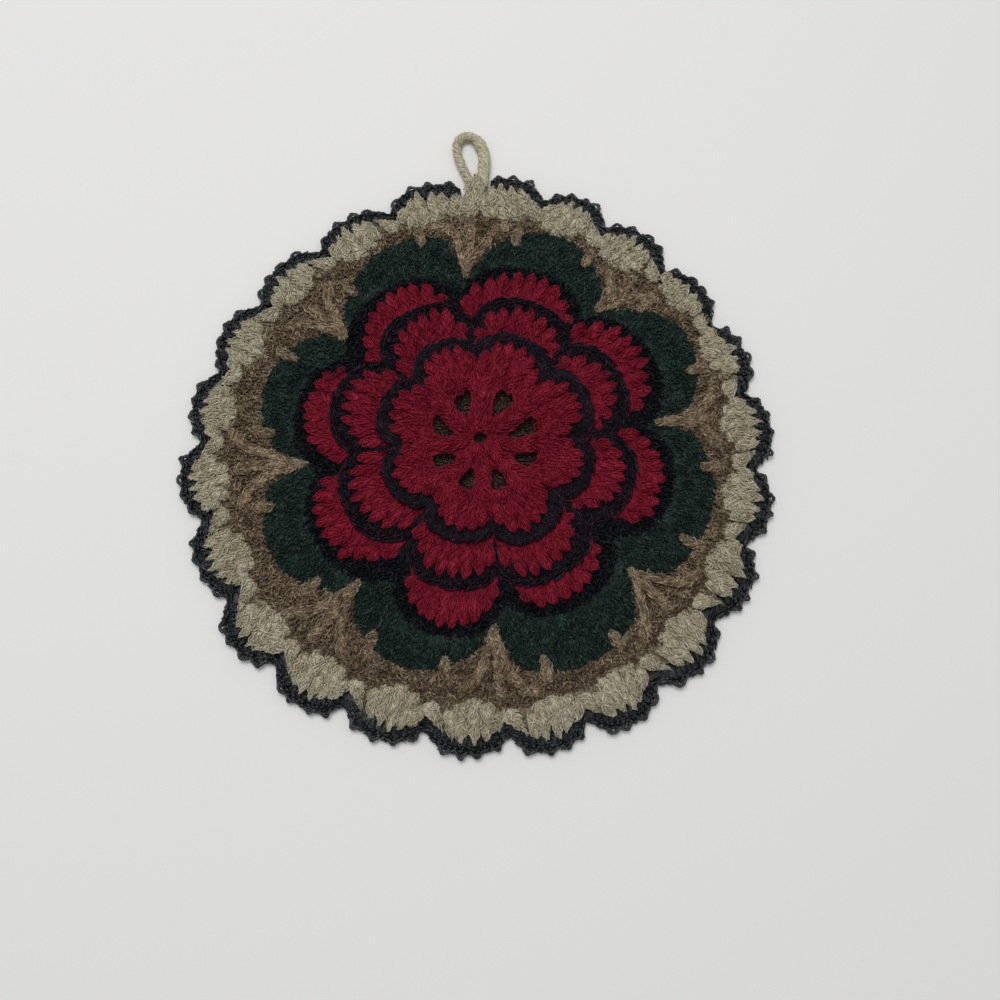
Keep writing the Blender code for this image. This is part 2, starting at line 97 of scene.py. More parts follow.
# The leaves' edge, one row a leaf. It runs straight from a spike's tip to a shoulder, arches over
# the crown to the other shoulder, and runs straight to the next spike's tip.
# Columns: bearing and radius of the spike's tip, the first shoulder, the crown, the last shoulder.
LEAVES = (
    (-5, 66, 3, 79.5, 20, 90, 38, 77),
    (40.7, 68, 46, 76, 63, 90, 81, 80),
    (84.7, 66, 87.8, 79.5, 109, 90, 126.5, 86),
    (132.7, 73, 140, 87, 155, 92.3, 171, 85.5),
    (175.7, 70, 179.5, 77.5, 198, 89, 214.5, 80.5),
    (218.5, 69, 222.5, 78.5, 240, 88, 257.5, 78.5),
    (261.2, 65, 267.5, 78, 286, 85, 304.5, 74.5),
    (308, 65, 313, 72.5, 338, 88, 351, 84),
)
SHORT_SPIKES = (  # bearing and radius of the tip
    (9.5, 81), (29.5, 81.5), (49.5, 80), (71.3, 83), (97.5, 82.5), (117.3, 82), (147, 86), (164.3, 84),
    (188.2, 82), (207, 81), (227.2, 78.5), (251.3, 80), (271.5, 77), (294.3, 77), (320.2, 76), (343.8, 83),
)

# Columns: bearing and radius of the crown of the edging, and radius of the shell's round foot.
SHELLS = (
    (7, 113.5, 91), (21, 111, 89.5), (37, 109, 87), (54, 108, 91), (70, 109, 90.5),
    (88, 110.5, 90), (104, 111, 91), (120, 113.5, 93), (137, 116.5, 95), (153, 117.5, 96.5),
    (166.5, 116.5, 97), (182.5, 115, 95), (198, 115, 94), (214, 117, 95.5), (228.5, 117.5, 96),
    (245, 114, 92.5), (262, 113.5, 93), (278, 111, 92), (294, 110.5, 90), (312, 109, 89),
    (330, 109, 87.5), (348, 112, 90.5),
)
SHELL_CLEFT_DEPTH = 6.6
SHELL_ROUNDNESS = 2.8
PICOT_WIDTH = 4.4

LOOP_ROUTE = (  # the cord's centre line, x and y
    (-2.4, 106.6), (-0.9, 107.3), (0.0, 109.4), (0.4, 113), (0.9, 118), (0.9, 123), (-0.6, 127.8),
    (-3.0, 130.8), (-5.9, 132), (-8.8, 130.8), (-10.3, 127.8), (-10.2, 124.3), (-8.8, 119.5),
    (-6.9, 115), (-4.8, 110.6), (-3.9, 107.6),
)
LOOP_BEARING, LOOP_HALF_GAP = -1.9, 3.4  # the opening that the edging leaves for the loop, in degrees

# The camera, in mm from the origin.
CAMERA_PLACE = (7.4, -118.8, 360.6)
CAMERA_TILT = 15  # degrees from straight down

# ------------ shapes in the plane


def polar(bearing, radius, height=0.0):
    """Points in mm from bearings in degrees, radii and heights."""
    angle = np.radians(bearing)
    parts = np.broadcast_arrays(radius * np.sin(angle), radius * np.cos(angle), height)
    return np.stack(parts, axis=-1)


def polar_path(bearings, radii, heights):
    """Paths from lists of bearings, radii and heights, one entry a control point."""
    return np.stack([polar(*place) for place in zip(bearings, radii, heights)], 1)


def even_bearings(count):
    return np.arange(count) * 360 / count


def turn_from(bearing, other):
    """Degrees from the other bearing, between -180 and 180."""
    return (bearing - other + 180) % 360 - 180


def unit(vectors, least=1e-9):
    return vectors / (np.linalg.norm(vectors, axis=-1, keepdims=True) + least)


def sideways(heading):
    """Level directions across headings."""
    return unit(np.stack([heading[..., 1], -heading[..., 0], np.zeros(heading.shape[:-1])], -1))


class Scallop:
    """A closed edge of lobes about the hub."""

    def __init__(self, starts, clefts, crowns, roundness):
        self.starts = np.array(starts, float)
        self.clefts = np.array(clefts, float)
        self.crowns = np.array(crowns, float)
        self.roundness = roundness
        self.spans = (np.roll(self.starts, -1) - self.starts) % 360
        self.count = len(self.starts)

    def edge(self, lobe, across):
        """Bearing and radius at a place across a lobe: -1 is its start, 1 its end."""
        lobe = lobe + np.floor((across + 1) / 2).astype(int)
        across = (across + 1) % 2 - 1
        lobe = lobe % self.count
        cleft = np.where(across < 0, self.clefts[lobe], self.clefts[(lobe + 1) % self.count])
        crown = self.crowns[lobe]
        radius = crown - (crown - cleft) * np.abs(across) ** self.roundness
        return self.starts[lobe] + self.spans[lobe] * (across + 1) / 2, radius

    def radius(self, bearing):
        turn = (bearing - self.starts[0]) % 360
        offsets = (self.starts - self.starts[0]) % 360
        lobe = np.searchsorted(offsets, turn, side="right") - 1
        across = 2 * (turn - offsets[lobe]) / self.spans[lobe] - 1
        return self.edge(lobe, np.clip(across, -1, 0.9999))[1]

    def beside(self, lobe, across, out, height=0.0):
        """Points `out` mm outside the edge."""
        step = 0.04
        along = polar(*self.edge(lobe, across + step)) - polar(*self.edge(lobe, across - step))
        along = unit(along, least=0.0)
        outward = np.stack([-along[..., 1], along[..., 0], np.zeros_like(along[..., 0])], axis=-1)
        point = polar(*self.edge(lobe, across)) + outward * np.asarray(out)[..., None]
        point[..., 2] = height
        return point


class Teeth:
    """The red edge of a tier of petals, each with its own pointed teeth."""

    def __init__(self, rows, per_petal):
        self.rows = np.array(rows, float)
        self.per_petal = per_petal

    def radius(self, bearing, floor):
        """The edge at each bearing: `floor` where there is no red."""
        edge = np.zeros(len(bearing)) + floor
        for first, first_mm, crown, crown_mm, last, last_mm in self.rows:
            away = turn_from(bearing, crown)
            early = away < 0
            share = np.abs(away) / np.where(early, crown - first, last - crown)
            end = np.where(early, first_mm, last_mm)
            reach = crown_mm - (crown_mm - end) * share**TOOTH_ROUNDNESS
            edge = np.where(share <= 1, np.maximum(edge, reach), edge)
        return edge

    def tips(self):
        """Bearing and radius of each tooth, and the bearing of its petal's crown."""
        place = (np.arange(self.per_petal) + 0.5) / self.per_petal
        bearing = self.rows[:, [0]] + (self.rows[:, [4]] - self.rows[:, [0]]) * place
        crown = np.broadcast_to(self.rows[:, [2]], bearing.shape)
        bearing, crown = bearing.ravel(), crown.ravel()
        return bearing, self.radius(bearing, 0.0), crown


FLOWER, MIDDLE, OUTER = (
    Scallop(*zip(*rows), BAND_ROUNDNESS) for rows in (FLOWER_BAND, MIDDLE_BAND, OUTER_BAND)
)
FLOWER_RED, MIDDLE_RED, OUTER_RED = Teeth(FLOWER_TEETH, 6), Teeth(MIDDLE_TEETH, 8), Teeth(OUTER_TEETH, 10)
GAPS = np.array(HUB_GAPS, float).T
CROWN_DEG, CROWN_MM, FOOT_MM = np.array(SHELLS, float).T
SHELL_STARTS = CROWN_DEG - ((CROWN_DEG - np.roll(CROWN_DEG, 1)) % 360) / 2
SHELL_CLEFTS = (CROWN_MM + np.roll(CROWN_MM, 1)) / 2 - SHELL_CLEFT_DEPTH
SHELL_EDGE = Scallop(SHELL_STARTS, SHELL_CLEFTS, CROWN_MM, SHELL_ROUNDNESS)
FAN_MIDDLE = CROWN_DEG - 1.6  # bearing of the middle of a shell's foot
FOOT_ROUND = 11.0  # radius of the foot's curve
NOTCH_RISE = 3.0  # how much further out the brown round reaches between two shells' feet


def leaf_places():
    """Bearings and radii along the leaves' edge."""
    places = []
    for start, tip, first, first_mm, crown, crown_mm, last, last_mm in LEAVES:
        places.append((start, tip))
        for share in np.linspace(-1, 1, 13):
            reach, end = (crown - first, first_mm) if share < 0 else (last - crown, last_mm)
            places.append((crown + share * reach, crown_mm - (crown_mm - end) * share**2))
    return np.array(places).T


LEAF_PLACES = leaf_places()


def leaf_edge(bearing):
    return np.interp(bearing, *LEAF_PLACES, period=360)


def foot_radius(bearing):
    """Radius of the shells' feet, read between one shell and the next."""
    return np.interp(bearing, FAN_MIDDLE, FOOT_MM, period=360)


def shell_root(bearing):
    """Radius where the brown round ends and the shells begin, each with a round foot."""
    turn = np.asarray(bearing, float) % 360
    aside = np.radians(turn_from(turn[..., None], FAN_MIDDLE)) * FOOT_MM
    foot = FOOT_MM + FOOT_ROUND - np.sqrt(np.maximum(FOOT_ROUND**2 - aside**2, 0))
    return np.minimum(foot.min(-1), foot_radius(turn) + NOTCH_RISE)


def gap_span(radius):
    """Bearing of each gap's middle and half its width in degrees, at each radius."""
    near, near_mm, far, far_mm, half = GAPS[..., None]
    share = (radius - near_mm) / (far_mm - near_mm)
    inside = np.clip(share, 0, 1)
    opening = np.minimum(inside / 0.45, 1) ** 0.6
    closing = 1 - 0.4 * np.clip(inside / 0.2 - 4, 0, 1) ** 2
    return near + (far - near) * inside, np.where(share == inside, half * opening * closing, 0.0)


def gap_end(bearing):
    """Radius just outside the gaps, where the flower's fans start."""
    return np.interp(bearing, GAPS[2], GAPS[3], period=360) + 0.8


def clear_of_neck(bearing):
    """True where the edging runs clear of the hanging loop's neck."""
    return np.abs(turn_from(bearing, LOOP_BEARING)) > LOOP_HALF_GAP


# ------------ yarn

TABLE_CLEARANCE = 0.02  # the strands' undersides lie flat at this height


def curve_weights(count, steps, closed):
    """Weights that read `steps` points off the smooth curve through `count` control points."""
    at = np.arange(steps) * count / steps if closed else np.linspace(0, count - 1, steps)
    start = np.minimum(at.astype(int), count - 1 if closed else count - 2)
    t = at - start
    shares = (-t + 2 * t**2 - t**3, 2 - 5 * t**2 + 3 * t**3, t + 4 * t**2 - 3 * t**3, -(t**2) + t**3)
    weights = np.zeros((steps, count))
    for offset, share in zip((-1, 0, 1, 2), shares):
        near = (start + offset) % count if closed else np.clip(start + offset, 0, count - 1)
        np.add.at(weights, (np.arange(steps), near), share / 2)
    return weights


def add_object(name, data):
    made = bpy.data.objects.new(name, data)
    bpy.context.scene.collection.objects.link(made)
    return made


def make_mesh(name, vertices, face_sets, uv_sets, tones, material):
    """One piece from vertices in mm, sets of faces with equal corners, and their UVs."""
    mesh = bpy.data.meshes.new(name)
    mesh.from_pydata(vertices * MM, [], [face for faces in face_sets for face in faces.tolist()])
    uv = mesh.uv_layers.new(name="strand")
    uv.data.foreach_set("uv", np.concatenate([u.ravel() for u in uv_sets]).astype(np.float32))
    tone = mesh.attributes.new("tone", "FLOAT", "POINT")
    tone.data.foreach_set("value", np.asarray(tones, np.float32))
    mesh.shade_smooth()
    mesh.materials.append(material)
    piece = add_object(name, mesh)
    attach(piece, "root")
    return piece


class Yarn:
    """Gathers strands of yarn, and spins them into one mesh."""

    def __init__(self):
        self.vertices, self.tones = [], []
        self.faces = {}  # lists of faces and their UVs: the strands' walls, then caps by their corners
        self.skins = []  # points on the strands, directions outward and along, for loose fibres
        self.count = 0

    def lay(self, controls, radii, tone=0.0, uneven=0.0, steps=None, sides=3, closed=False, wobble=0.1,
            squash=1.0):
        """Lays strands through controls (strand, point, xyz), with radii for each point.

        With `steps`, a strand is a smooth curve of that many points through its controls.
        """
        controls = np.asarray(controls, float)
        strands, count, _ = controls.shape
        tone = tone + (draw.normal(0, uneven, strands) if uneven else 0.0)
        points = controls + draw.normal(0, wobble, controls.shape)
        radii = radii * (1 + draw.normal(0, wobble * 0.35, (strands, count)))
        if steps:
            weights = curve_weights(count, steps, closed)
            points = np.einsum("nk,skd->snd", weights, points)
            radii = np.einsum("nk,sk->sn", weights, radii)
            count = steps
        thick = np.maximum(radii, 0.05)
        if closed:
            heading = np.roll(points, -1, axis=1) - np.roll(points, 1, axis=1)
        else:
            heading = np.gradient(points, axis=1)
            thick[:, [0, -1]] *= 0.45
        heading = unit(heading)
        side = unit(np.cross(heading, (0.02, 0.03, 1.0)))
        up = np.cross(side, heading)
        angle = 2 * np.pi * np.arange(sides) / sides - np.pi / 2 - (np.pi / sides if sides % 2 else 0)
        across, high = side[:, :, None] * np.cos(angle)[:, None], squash * np.sin(angle)[:, None]
        outward = across + up[:, :, None] * high
        lumps = 1 + draw.normal(0, 0.06, outward.shape[:3])
        skin = points[:, :, None] + outward * (thick[:, :, None] * lumps)[..., None]
        lengths = np.linalg.norm(np.diff(points, axis=1, append=points[:, :1]), axis=-1)
        along = np.concatenate([np.zeros((strands, 1)), np.cumsum(lengths, axis=1)], axis=1)
        along += draw.uniform(0, 40, (strands, 1))
        axes = np.broadcast_to(heading[:, :, None], skin.shape)
        self.skins.append([part.reshape(-1, 3) for part in (skin, outward, axes)])
        self.vertices.append(skin.reshape(-1, 3))
        self.tones.append(np.repeat(np.broadcast_to(tone, (strands,)), count * sides))
        first = self.count + np.arange(strands)[:, None, None] * count * sides
        self.count += strands * count * sides
        ring = np.arange(count if closed else count - 1)[:, None]
        side = np.arange(sides)
        corners = [
            first + r % count * sides + s % sides
            for r, s in ((ring, side), (ring + 1, side), (ring + 1, side + 1), (ring, side + 1))
        ]
        near, far = along[:, : ring.size, None], along[:, 1 : ring.size + 1, None]
        low, high = side / sides, side / sides + 1 / sides
        uvs = np.stack(np.broadcast_arrays(near, low, far, low, far, high, near, high), -1)
        walls = np.stack(corners, -1).reshape(-1, 4)
        self.faces.setdefault("walls", []).append((walls, uvs.reshape(-1, 4, 2)))
        if not closed:
            start = first[:, 0] + side
            end = start[:, ::-1] + (count - 1) * sides
            cap_uvs = np.zeros((strands, sides, 2)) + along[:, :1, None]
            self.faces.setdefault(sides, []).extend([(start, cap_uvs), (end, cap_uvs)])

    def spin(self, name, material):
        """Makes the mesh of all the strands."""
        faces, uvs = zip(*([np.concatenate(part) for part in zip(*group)] for group in self.faces.values()))
        vertices = np.concatenate(self.vertices)
        vertices[:, 2] = np.maximum(vertices[:, 2], TABLE_CLEARANCE)
        return make_mesh(name, vertices, faces, uvs, np.concatenate(self.tones), material)


def fuzz(name, yarns, hairs, length, material, width=0.07):
    """Loose fibres: thin closed spikes that run along the strands and stray from them."""
    points, outward, heading = (np.concatenate(part) for part in zip(*(s for y in yarns for s in y.skins)))
    tones = np.concatenate([t for y in yarns for t in y.tones])
    upper = np.flatnonzero(outward[:, 2] > 0.2)
    chosen = draw.choice(upper, hairs, replace=False)
    base, out = points[chosen], outward[chosen]
    lean = out * 0.35 + heading[chosen] * draw.choice((-0.8, 0.8), (hairs, 1))
    lean += draw.normal(0, 0.45, out.shape) * np.array([1, 1, 0.3])
    lean[:, 2] = np.maximum(lean[:, 2], -0.1)
    lean = unit(lean, least=0.0)
    tip = base + lean * draw.uniform(0.4, 1.0, (hairs, 1)) * length
    side = unit(np.cross(lean, draw.normal(0, 1, out.shape)))
    other = np.cross(lean, side)
    corners = [base + (side * math.cos(t) + other * math.sin(t)) * width for t in (0, 2.094, 4.189)]
    vertices = np.stack([*corners, tip], axis=1)
    first = np.arange(hairs)[:, None] * 4
    faces = np.concatenate([first + order for order in ((0, 2, 1), (0, 1, 3), (1, 2, 3), (2, 0, 3))])
    shades = np.repeat(tones[chosen] + draw.normal(0.08, 0.22, hairs), 4)
    return make_mesh(name, vertices.reshape(-1, 3), [faces], [np.zeros((len(faces), 3, 2))], shades, material)


def ground(name, node, material, inner, outer, tops, thickness, count=320, rings=4, shape=1.0, tone=-0.3,
           keep=None):
    """The closed sheet of close fabric under a round's stitches, which stands for a node of the CAD.

    It is a grid about the hub between two edges, and `tops` are its heights at the inner edge and
    the outer. `keep` says which cells it has. Its tone is darker than the yarn by default: painted
    shade where the sheet shows between the strands.
    """
    bearings = even_bearings(count)
    share = np.linspace(0, 1, rings)
    near = inner(bearings) if callable(inner) else np.full(count, inner)
    radii = near[:, None] + (outer(bearings) - near)[:, None] * share
    top = polar(bearings[:, None], radii, tops[0] + (tops[1] - tops[0]) * share**shape)
    vertices = np.concatenate([top.reshape(-1, 3), (top - [0, 0, thickness]).reshape(-1, 3)])
    cells = keep(bearings, radii) if keep else np.ones((count, rings - 1))
    cell_b, cell_r = np.nonzero(cells)
    start, following = cell_b * rings + cell_r, (cell_b + 1) % count * rings + cell_r
    faces = np.stack([start, following, following + 1, start + 1], -1)
    edges = np.concatenate([faces[:, [i, (i + 1) % 4]] for i in range(4)])
    under = count * rings
    rim = edges[~np.isin(edges[:, 0] * under + edges[:, 1], edges[:, 1] * under + edges[:, 0])]
    walls = np.stack([rim[:, 0], rim[:, 0] + under, rim[:, 1] + under, rim[:, 1]], -1)
    used, faces = np.unique(np.concatenate([faces, faces[:, ::-1] + under, walls]), return_inverse=True)
    vertices, faces = vertices[used], faces.reshape(-1, 4)
    uvs = vertices[faces][..., :2] * np.array([1.0, 0.1])
    # Painted shade: the sheet's tone darkens it where it shows between the strands.
    piece = make_mesh(name, vertices, [faces], [uvs], np.full(len(vertices), tone), material)
    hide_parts(node)
    return piece


def outside_gaps(bearings, radii):
    """True for the cells that lie clear of the flower's eight gaps."""
    clear = []
    for centre, ring in zip(bearings + 180 / len(bearings), (radii[:, 1:] + radii[:, :-1]) / 2):
        middle, half = gap_span(ring)
        clear.append((np.abs(turn_from(centre, middle)) >= half).all(0))
    return np.array(clear)


def outside_neck(bearings, radii):
    """True for the edging's cells that lie clear of the hanging loop's neck."""
    return np.repeat(clear_of_neck(bearings)[:, None], radii.shape[1] - 1, axis=1)


# ------------ materials

PLIES = 3
GROOVE_SHADE = 0.25  # how much darker a yarn is between its plies


def linear(rgb):
    """Linear colour from screen values between 0 and 255."""
    share = np.array(rgb) / 255
    return (*np.where(share <= 0.04045, share / 12.92, ((share + 0.055) / 1.055) ** 2.4), 1.0)


def plug(tree, made, inputs):
    """Sets a node's inputs, from values or from the outputs of other nodes."""
    for key, value in inputs.items():
        if isinstance(value, bpy.types.NodeSocket):
            tree.links.new(value, made.inputs[key])
        else:
            made.inputs[key].default_value = value


def node(tree, kind, inputs=None, **settings):
    made = tree.nodes.new(kind)
    for key, value in settings.items():
        setattr(made, key, value)
    plug(tree, made, inputs or {})
    return made


def calc(tree, operation, *values):
    return node(tree, "ShaderNodeMath", dict(enumerate(values)), operation=operation).outputs[0]


def noise(tree, vector, scale, detail, roughness):
    inputs = {"Vector": vector, "Scale": scale, "Detail": detail, "Roughness": roughness}
    return node(tree, "ShaderNodeTexNoise", inputs).outputs["Fac"]


def new_material(name):
    """A material, its node tree and its shader."""
    material = bpy.data.materials.new(name)
    material.use_nodes = True
    return material, material.node_tree, material.node_tree.nodes["Principled BSDF"]


def yarn_material(name, dark, middle, light, fleck=None, fleck_share=0.5, twist=5.0, mottle=0.8,
                  grain=1.7, roughness=0.92, sheen=0.03, specular=0.1, depth=0.35):
    """Spun yarn: plies that turn round the strand, fine fibres along them, and uneven dye."""
    material, tree, shader = new_material(name)
    uv = node(tree, "ShaderNodeUVMap", uv_map="strand").outputs[0]
    along, around = node(tree, "ShaderNodeSeparateXYZ", {0: uv}).outputs[:2]
    place = node(tree, "ShaderNodeTexCoord").outputs["Object"]
    tone = node(tree, "ShaderNodeAttribute", attribute_name="tone").outputs["Fac"]
    turned = calc(tree, "MULTIPLY_ADD", along, 1 / twist, 0.0)
    turn = calc(tree, "MULTIPLY_ADD", around, float(PLIES), turned)
    wave = calc(tree, "COSINE", calc(tree, "MULTIPLY", turn, 2 * math.pi))
    ply = calc(tree, "MULTIPLY_ADD", wave, 0.5, 0.5)
    spread = calc(tree, "MULTIPLY", turn, 3.0)
    drawn = calc(tree, "MULTIPLY", along, 0.35)
    fibre_axes = {0: spread, 1: drawn, 2: calc(tree, "MULTIPLY", tone, 31.0)}
    fibre_place = node(tree, "ShaderNodeCombineXYZ", fibre_axes).outputs[0]
    fibre = noise(tree, fibre_place, 2.2, 3.0, 0.6)
    fine = noise(tree, place, 1900.0, 2.0, 0.65)
    patch = noise(tree, place, 260.0, 3.0, 0.6)
    level = tone
    for unevenness, share in ((patch, mottle * 1.6), (fibre, 0.9), (fine, grain)):
        level = calc(tree, "MULTIPLY_ADD", calc(tree, "SUBTRACT", unevenness, 0.5), share, level)
    ramp = node(tree, "ShaderNodeValToRGB", {0: calc(tree, "ADD", level, 0.5)})
    ramp.color_ramp.elements[0].color = linear(dark)
    ramp.color_ramp.elements[1].color = linear(light)
    ramp.color_ramp.elements.new(0.5).color = linear(middle)
    colour = ramp.outputs[0]
    if fleck:
        spots = noise(tree, place, 700.0, 3.0, 0.65)
        limits = {0: spots, 1: 0.62 - 0.2 * fleck_share, 2: 0.72, 3: 0.0, 4: 0.85}
        mask = node(tree, "ShaderNodeMapRange", limits).outputs[0]
        mixed = node(tree, "ShaderNodeMix", {0: mask, 6: colour, 7: linear(fleck)}, data_type="RGBA")
        colour = mixed.outputs[2]
    shade = calc(tree, "MULTIPLY_ADD", ply, GROOVE_SHADE, 1 - GROOVE_SHADE)
    shaded = node(tree, "ShaderNodeVectorMath", {0: colour, "Scale": shade}, operation="SCALE")
    height = calc(tree, "MULTIPLY_ADD", fibre, 0.8, calc(tree, "MULTIPLY", ply, 0.5))
    height = calc(tree, "MULTIPLY_ADD", fine, 1.2, height)
    bump = node(tree, "ShaderNodeBump", {"Strength": 0.8, "Distance": depth * MM, "Height": height})
    plug(tree, shader, {
        "Base Color": shaded.outputs[0], "Normal": bump.outputs[0], "Roughness": roughness,
        "Specular IOR Level": specular, "Sheen Weight": sheen, "Sheen Roughness": 0.5,
        "Sheen Tint": linear(light),
    })
    return material


RED = yarn_material(
    "red_yarn_look", (85, 14, 27), (138, 31, 50), (186, 54, 77), mottle=0.6, sheen=0.05,
    specular=0.08,
)
DARK = yarn_material(
    "dark_yarn_look", (18, 14, 20), (38, 30, 40), (72, 56, 66), fleck=(34, 26, 42),
    fleck_share=0.3,
)
GREEN = yarn_material(
    "green_yarn_look", (20, 32, 29), (43, 60, 54), (75, 98, 87), fleck=(26, 33, 38),
    fleck_share=0.4, sheen=0.05,
)
BROWN = yarn_material(
    "brown_yarn_look", (79, 62, 48), (141, 121, 98), (200, 180, 151), mottle=0.9,
    fleck=(66, 50, 38), sheen=0.15,
)
OLIVE = yarn_material(
    "backing_yarn_look", (44, 33, 29), (84, 66, 58), (120, 100, 88), mottle=0.7,
    fleck=(48, 36, 32), sheen=0.1,
)
BEIGE = yarn_material(
    "beige_yarn_look", (147, 135, 108), (196, 186, 159), (236, 229, 206), mottle=0.45,
    sheen=0.15,
)
DUSK = yarn_material(
    "outer_dark_yarn_look", (14, 15, 19), (29, 31, 36), (54, 56, 62), fleck=(34, 28, 42),
    fleck_share=0.3,
)
# The thread's light colour is raised to paint glints of its sheen, besides its own dark specks.
NAVY = yarn_material(
    "navy_thread_look", (4, 6, 9), (14, 18, 22), (72, 77, 82), mottle=0.7, grain=2.4,
    roughness=0.45, specular=0.5, sheen=0.0, twist=2.5, depth=0.15,
)

# ------------ stitches

# The red posts' last setting paints the strands near the teeth's tips lighter: a painted highlight.
RED_POSTS = {"run": 3.2, "sweep": 0.95, "cover": 1.25, "rise": 0.4, "tip_highlight": 0.08}
SPIKE_POSTS = {"run": 2.5, "uneven": 0.2, "chevron": 0.3}
PUFF_POSTS = {"rise": 0.5, "uneven": 0.14, "chevron": 0.3}


def read_path(path, place):
    """Points part of the way along each path, from shares between 0 and 1."""
    at = np.clip(place, 0, 1) * (path.shape[1] - 1)
    low = np.minimum(at.astype(int), path.shape[1] - 2)
    row = np.arange(len(path))[:, None]
    part = (at - low)[..., None]
    return path[row, low] * (1 - part) + path[row, low + 1] * part


def arch(part):
    """Height along a short strand, in its radii: its middle stands out and its ends go under."""
    return 0.5 - 1.4 * (2 * part) ** 2


def posts(yarn, path, width, radius=0.46, run=2.8, sweep=0.9, cover=1.2, tone=0.0, spread=0.03, rise=0.45,
          point=0.25, blunt=0.1, narrow=1.0, heel=0.01, sway=0.13, uneven=0.1, steps=12, core=6, bends=4,
          chevron=0.55, tip_highlight=0.0):
    """A tall stitch along each path: a soft core under short curved strands that lie across it,
    partly in chevrons, drawn in to a point at the tip. The crest of the stitch is the path itself.

    Widths are at the heel and the tip, in mm. The heel and the point are the shares of the path that
    narrow, and blunt is the share of the width left at the tip. Rise is the height as a share of half
    the width. The strands are `run` mm long, turn by about `sweep` radians and cover the core `cover`
    times. Spread is how much the stitches' tones differ, uneven how much the strands' do.
    """
    count = len(path)
    tone = tone + draw.normal(0, spread, count)
    centre = np.einsum("nk,skd->snd", curve_weights(path.shape[1], steps, False), path)
    side = sideways(np.gradient(centre, axis=1))
    share = np.linspace(0, 1, steps)
    near_tip = np.clip((share - 1 + point) / point, 0, 1)
    near_heel = np.clip(1 - share / heel, 0, 1)
    taper = (1 - (1 - blunt) * near_tip**narrow) * (1 - 0.6 * near_heel**2)
    reach = np.maximum((width[0] + (width[1] - width[0]) * share) / 2 - radius * 0.6, 0.15) * taper
    drop = (reach * rise + radius * 0.15)[:, None] * np.array([0, 0, 1.0])
    # The core is painted a little darker, as shade under the strands.
    yarn.lay(centre - drop, reach, tone=tone - 0.1, sides=core, squash=rise, wobble=0.03)
    length = np.linalg.norm(np.diff(centre, axis=1), axis=-1).sum(1)
    number = max(4, int(cover * length.mean() * reach.mean() * 2.6 / (run * radius * 1.7)))
    along = (np.arange(number) + draw.uniform(0, 1, (count, number))) / number * 1.04 - 0.02
    angle = ((np.arange(number) * 0.618 + draw.uniform(0, 1, (count, 1))) % 1) * 2.5 - 1.25
    lean = (np.sign(angle) * chevron + draw.normal(0, 0.85 * (1 - chevron), angle.shape)) * sweep * 1.2
    part = np.linspace(-0.5, 0.5, bends)
    stretch = run * draw.uniform(0.75, 1.2, (count, number, 1)) / length[:, None, None]
    place = np.clip(along[..., None] + part * stretch, 0, 1).reshape(count, -1)
    angle = np.clip(angle[..., None] + lean[..., None] * part, -1.5, 1.5).reshape(count, -1)
    section = np.concatenate([centre, side, np.broadcast_to(reach[:, None], (count, steps, 1))], -1)
    at = read_path(section, place)
    swing = at[..., 6]
    points = at[..., :3] + at[..., 3:6] * (np.sin(angle) * swing)[..., None]
    points[..., 2] += (np.cos(angle) - 1) * swing * rise
    points = points.reshape(count * number, bends, 3)
    points[..., 2] += radius * arch(part) + draw.uniform(-0.1, 0.25, (count * number, 1))
    thin = np.interp(place, share, 0.45 + 0.55 * taper).reshape(count * number, bends)
    shade = np.repeat(tone, number) + draw.normal(0, uneven, count * number)
    # Painted highlight: the strands near the tip are made lighter.
    shade = shade + tip_highlight * np.interp(along.ravel(), share, near_tip)
    yarn.lay(points, radius * thin, tone=shade, wobble=sway)


def scatter(low, high, inner, outer, across, along):
    """Places over a round between two edges, in rows `along` mm apart and `across` mm in a row."""
    bearings, radii, hands = [], [], []
    for row, radius in enumerate(np.arange(low, high, along)):
        turn = np.arange(0, 360, math.degrees(across / radius)) + draw.uniform(0, 9)
        bearings.append(turn + draw.normal(0, 0.15, turn.shape))
        radii.append(radius + draw.normal(0, along * 0.3, len(turn)))
        hands.append(np.where((np.arange(len(turn)) // 2 + row) % 2, 1.0, -1.0))
    bearings, radii, hands = (np.concatenate(part) for part in (bearings, radii, hands))
    keep = (radii > inner(bearings)) & (radii < outer(bearings))
    return bearings[keep], radii[keep], hands[keep]


def nap(yarn, bearing, radius, height, lean, stray, run=2.8, thick=0.46, tone=0.0, uneven=0.12,
        curl=0.25, sway=0.12, bends=3):
    """Short curled strands over a round, which lean and stray from its outward direction, in radians."""
    count = len(bearing)
    lean = lean + draw.normal(0, stray, count)
    outward = polar(bearing, 1.0)
    heading = outward * np.cos(lean)[:, None] + sideways(outward) * np.sin(lean)[:, None]
    part = np.linspace(-0.5, 0.5, bends)
    length = run * draw.uniform(0.7, 1.25, (count, 1, 1))
    bow = (0.25 - part**2)[:, None] * length * curl * 4 * draw.normal(0, 1, (count, 1, 1))
    points = polar(bearing, radius, height)[:, None] + heading[:, None] * part[:, None] * length
    points = points + sideways(heading)[:, None] * bow
    points[..., 2] += thick * arch(part) + draw.uniform(-0.15, 0.25, (count, 1))
    yarn.lay(points, thick, tone=tone, uneven=uneven, wobble=sway)


